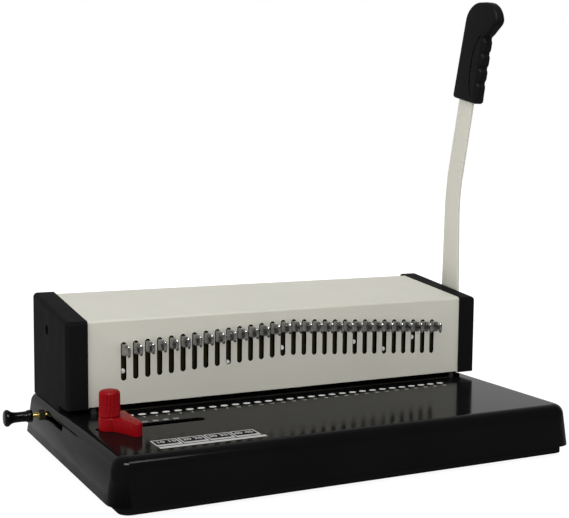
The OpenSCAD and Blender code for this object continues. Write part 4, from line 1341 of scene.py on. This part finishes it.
@dataclass
class Studio:
    """White floor, soft light and the camera at the photograph's angle."""

    image: tuple = (569, 518)
    focal_px: float = 1122.29
    azimuth: float = -26.81
    elevation: float = 5.86
    roll: float = 0.55
    target: tuple = (-3.966, 10.215, 149.425)
    distance: float = 890.52
    sensor: float = 36.0
    floor_half: float = 6.0
    floor_z: float = -0.0003
    floor_white: float = 1.24
    sky: float = 0.5

    def build(self) -> None:
        """Makes camera, floor, world and lamps."""
        self.camera()
        self.floor()
        self.world()
        self.lamps()
        bpy.context.scene.view_settings.view_transform = "Standard"

    def camera(self) -> None:
        """A camera looking at the target from the given angles, turned a little about its own axis."""
        a, e = math.radians(self.azimuth), math.radians(self.elevation)
        back = Vector((math.sin(a) * math.cos(e), -math.cos(a) * math.cos(e), math.sin(e)))
        data = bpy.data.cameras.new("camera")
        data.sensor_width = self.sensor
        data.lens = self.sensor * self.focal_px / self.image[0]
        data.clip_start, data.clip_end = 0.01, 50.0
        camera = new_object("camera", data)
        camera.location = Vector(metres(np.array(self.target))) + back * self.distance * MM
        camera.rotation_mode = "QUATERNION"
        turn = Quaternion((0.0, 0.0, 1.0), math.radians(self.roll))
        camera.rotation_quaternion = (-back).to_track_quat("-Z", "Y") @ turn
        bpy.context.scene.camera = camera

    def floor(self) -> None:
        """A large white floor: white to the camera, with a faint shadow near the machine."""
        half, z = self.floor_half, self.floor_z
        mesh = bpy.data.meshes.new("floor")
        corners = [(-half, -half, z), (half, -half, z), (half, half, z), (-half, half, z)]
        mesh.from_pydata(corners, [], [(0, 1, 2, 3)])
        floor = new_object("floor", mesh)
        paint = bpy.data.materials.new("white_floor")
        graph = Graph(paint)
        place = graph.add("TexCoord", {}).outputs["Object"]
        direct, shown, gloss = graph.rays(place, ((-0.15, 0.17), (0.4, 0.8)), ((-0.3, 0.85), (-0.05, 1.0)))
        far = graph.add("VectorMath", {0: place})
        far.operation = "LENGTH"
        share = graph.ramp(far.outputs["Value"], (0.35, 0.74), (0.9, 1.0))
        white = graph.maths("MULTIPLY", direct, self.floor_white)
        glow = graph.add("Emission", {"Strength": graph.maths("ADD", white, gloss)})
        diffuse = graph.add("BsdfDiffuse", {"Color": (0.85, 0.85, 0.85, 1.0)})
        graph.output("OutputMaterial", graph.maths("MULTIPLY", shown, share), diffuse, glow)
        mesh.materials.append(paint)

    def world(self) -> None:
        """White to the camera; grey as light; mirrored, white behind and dim on the camera's side."""
        world = bpy.data.worlds.new("studio")
        bpy.context.scene.world = world
        graph = Graph(world)
        place = graph.add("TexCoord", {}).outputs["Generated"]
        direct, shown, gloss = graph.rays(place, ((-0.5, 0.12), (0.75, 0.92)), ((-0.6, 0.75), (0.1, 1.0)))
        strength = graph.maths("ADD", direct, gloss)
        seen = graph.add("Background", {"Strength": strength, "Color": (1.0, 1.0, 1.0, 1.0)})
        light = graph.add("Background", {"Strength": self.sky, "Color": (1.0, 0.995, 0.985, 1.0)})
        graph.output("OutputWorld", shown, light, seen)

    def lamps(self) -> None:
        """Large soft lamps overhead, from the left and the front, and two small ones for highlights."""
        self.lamp("overhead", (-0.1, 0.1, 1.5), (0.0, 0.05, 0.1), (1.6, 1.6), 7.0, False)
        self.lamp("left_side", (-1.6, -0.2, 0.75), (0.0, 0.05, 0.15), (1.3, 1.3), 11.6, False)
        self.lamp("front", (-0.2, -1.9, 0.55), (0.0, 0.0, 0.1), (1.4, 1.4), 12.2, False)
        self.lamp("rim_light", (-0.5, -1.3, 1.35), (0.0, 0.0, 0.1), (1.0, 0.4), 66.0, True)
        self.lamp("edge_light", (0.28, -1.0, 1.4), (-0.1, -0.11, 0.04), (0.34, 0.45), 11.0, True)

    @staticmethod
    def lamp(name: str, place: tuple, aim: tuple, size: tuple, power: float, mirrored: bool) -> None:
        """One area lamp.

        Args:
            name: the lamp's name.
            place: where it stands, in metres.
            aim: where it points.
            size: its width and height, in metres.
            power: watts.
            mirrored: a lamp that shows in reflections alone; the others only light.
        """
        data = bpy.data.lights.new(name, "AREA")
        data.shape = "RECTANGLE"
        data.size, data.size_y = size
        data.energy = power
        lamp = new_object(name, data)
        lamp.location = place
        lamp.rotation_mode = "QUATERNION"
        lamp.rotation_quaternion = (Vector(aim) - Vector(place)).to_track_quat("-Z", "Y")
        lamp.visible_glossy = mirrored
        lamp.visible_diffuse = not mirrored


def main() -> None:
    """Builds the studio and every sub-assembly in order."""
    logging.basicConfig(level=logging.INFO, format="%(name)s: %(message)s")
    Studio().build()
    for kind in (Base, PunchHead, PinSelectors, Lever, EdgeGuide, MarginLever):
        log.info("building %s", kind.__name__)
        kind().build()
    dress_nodes()


if __name__ == "__main__":
    main()
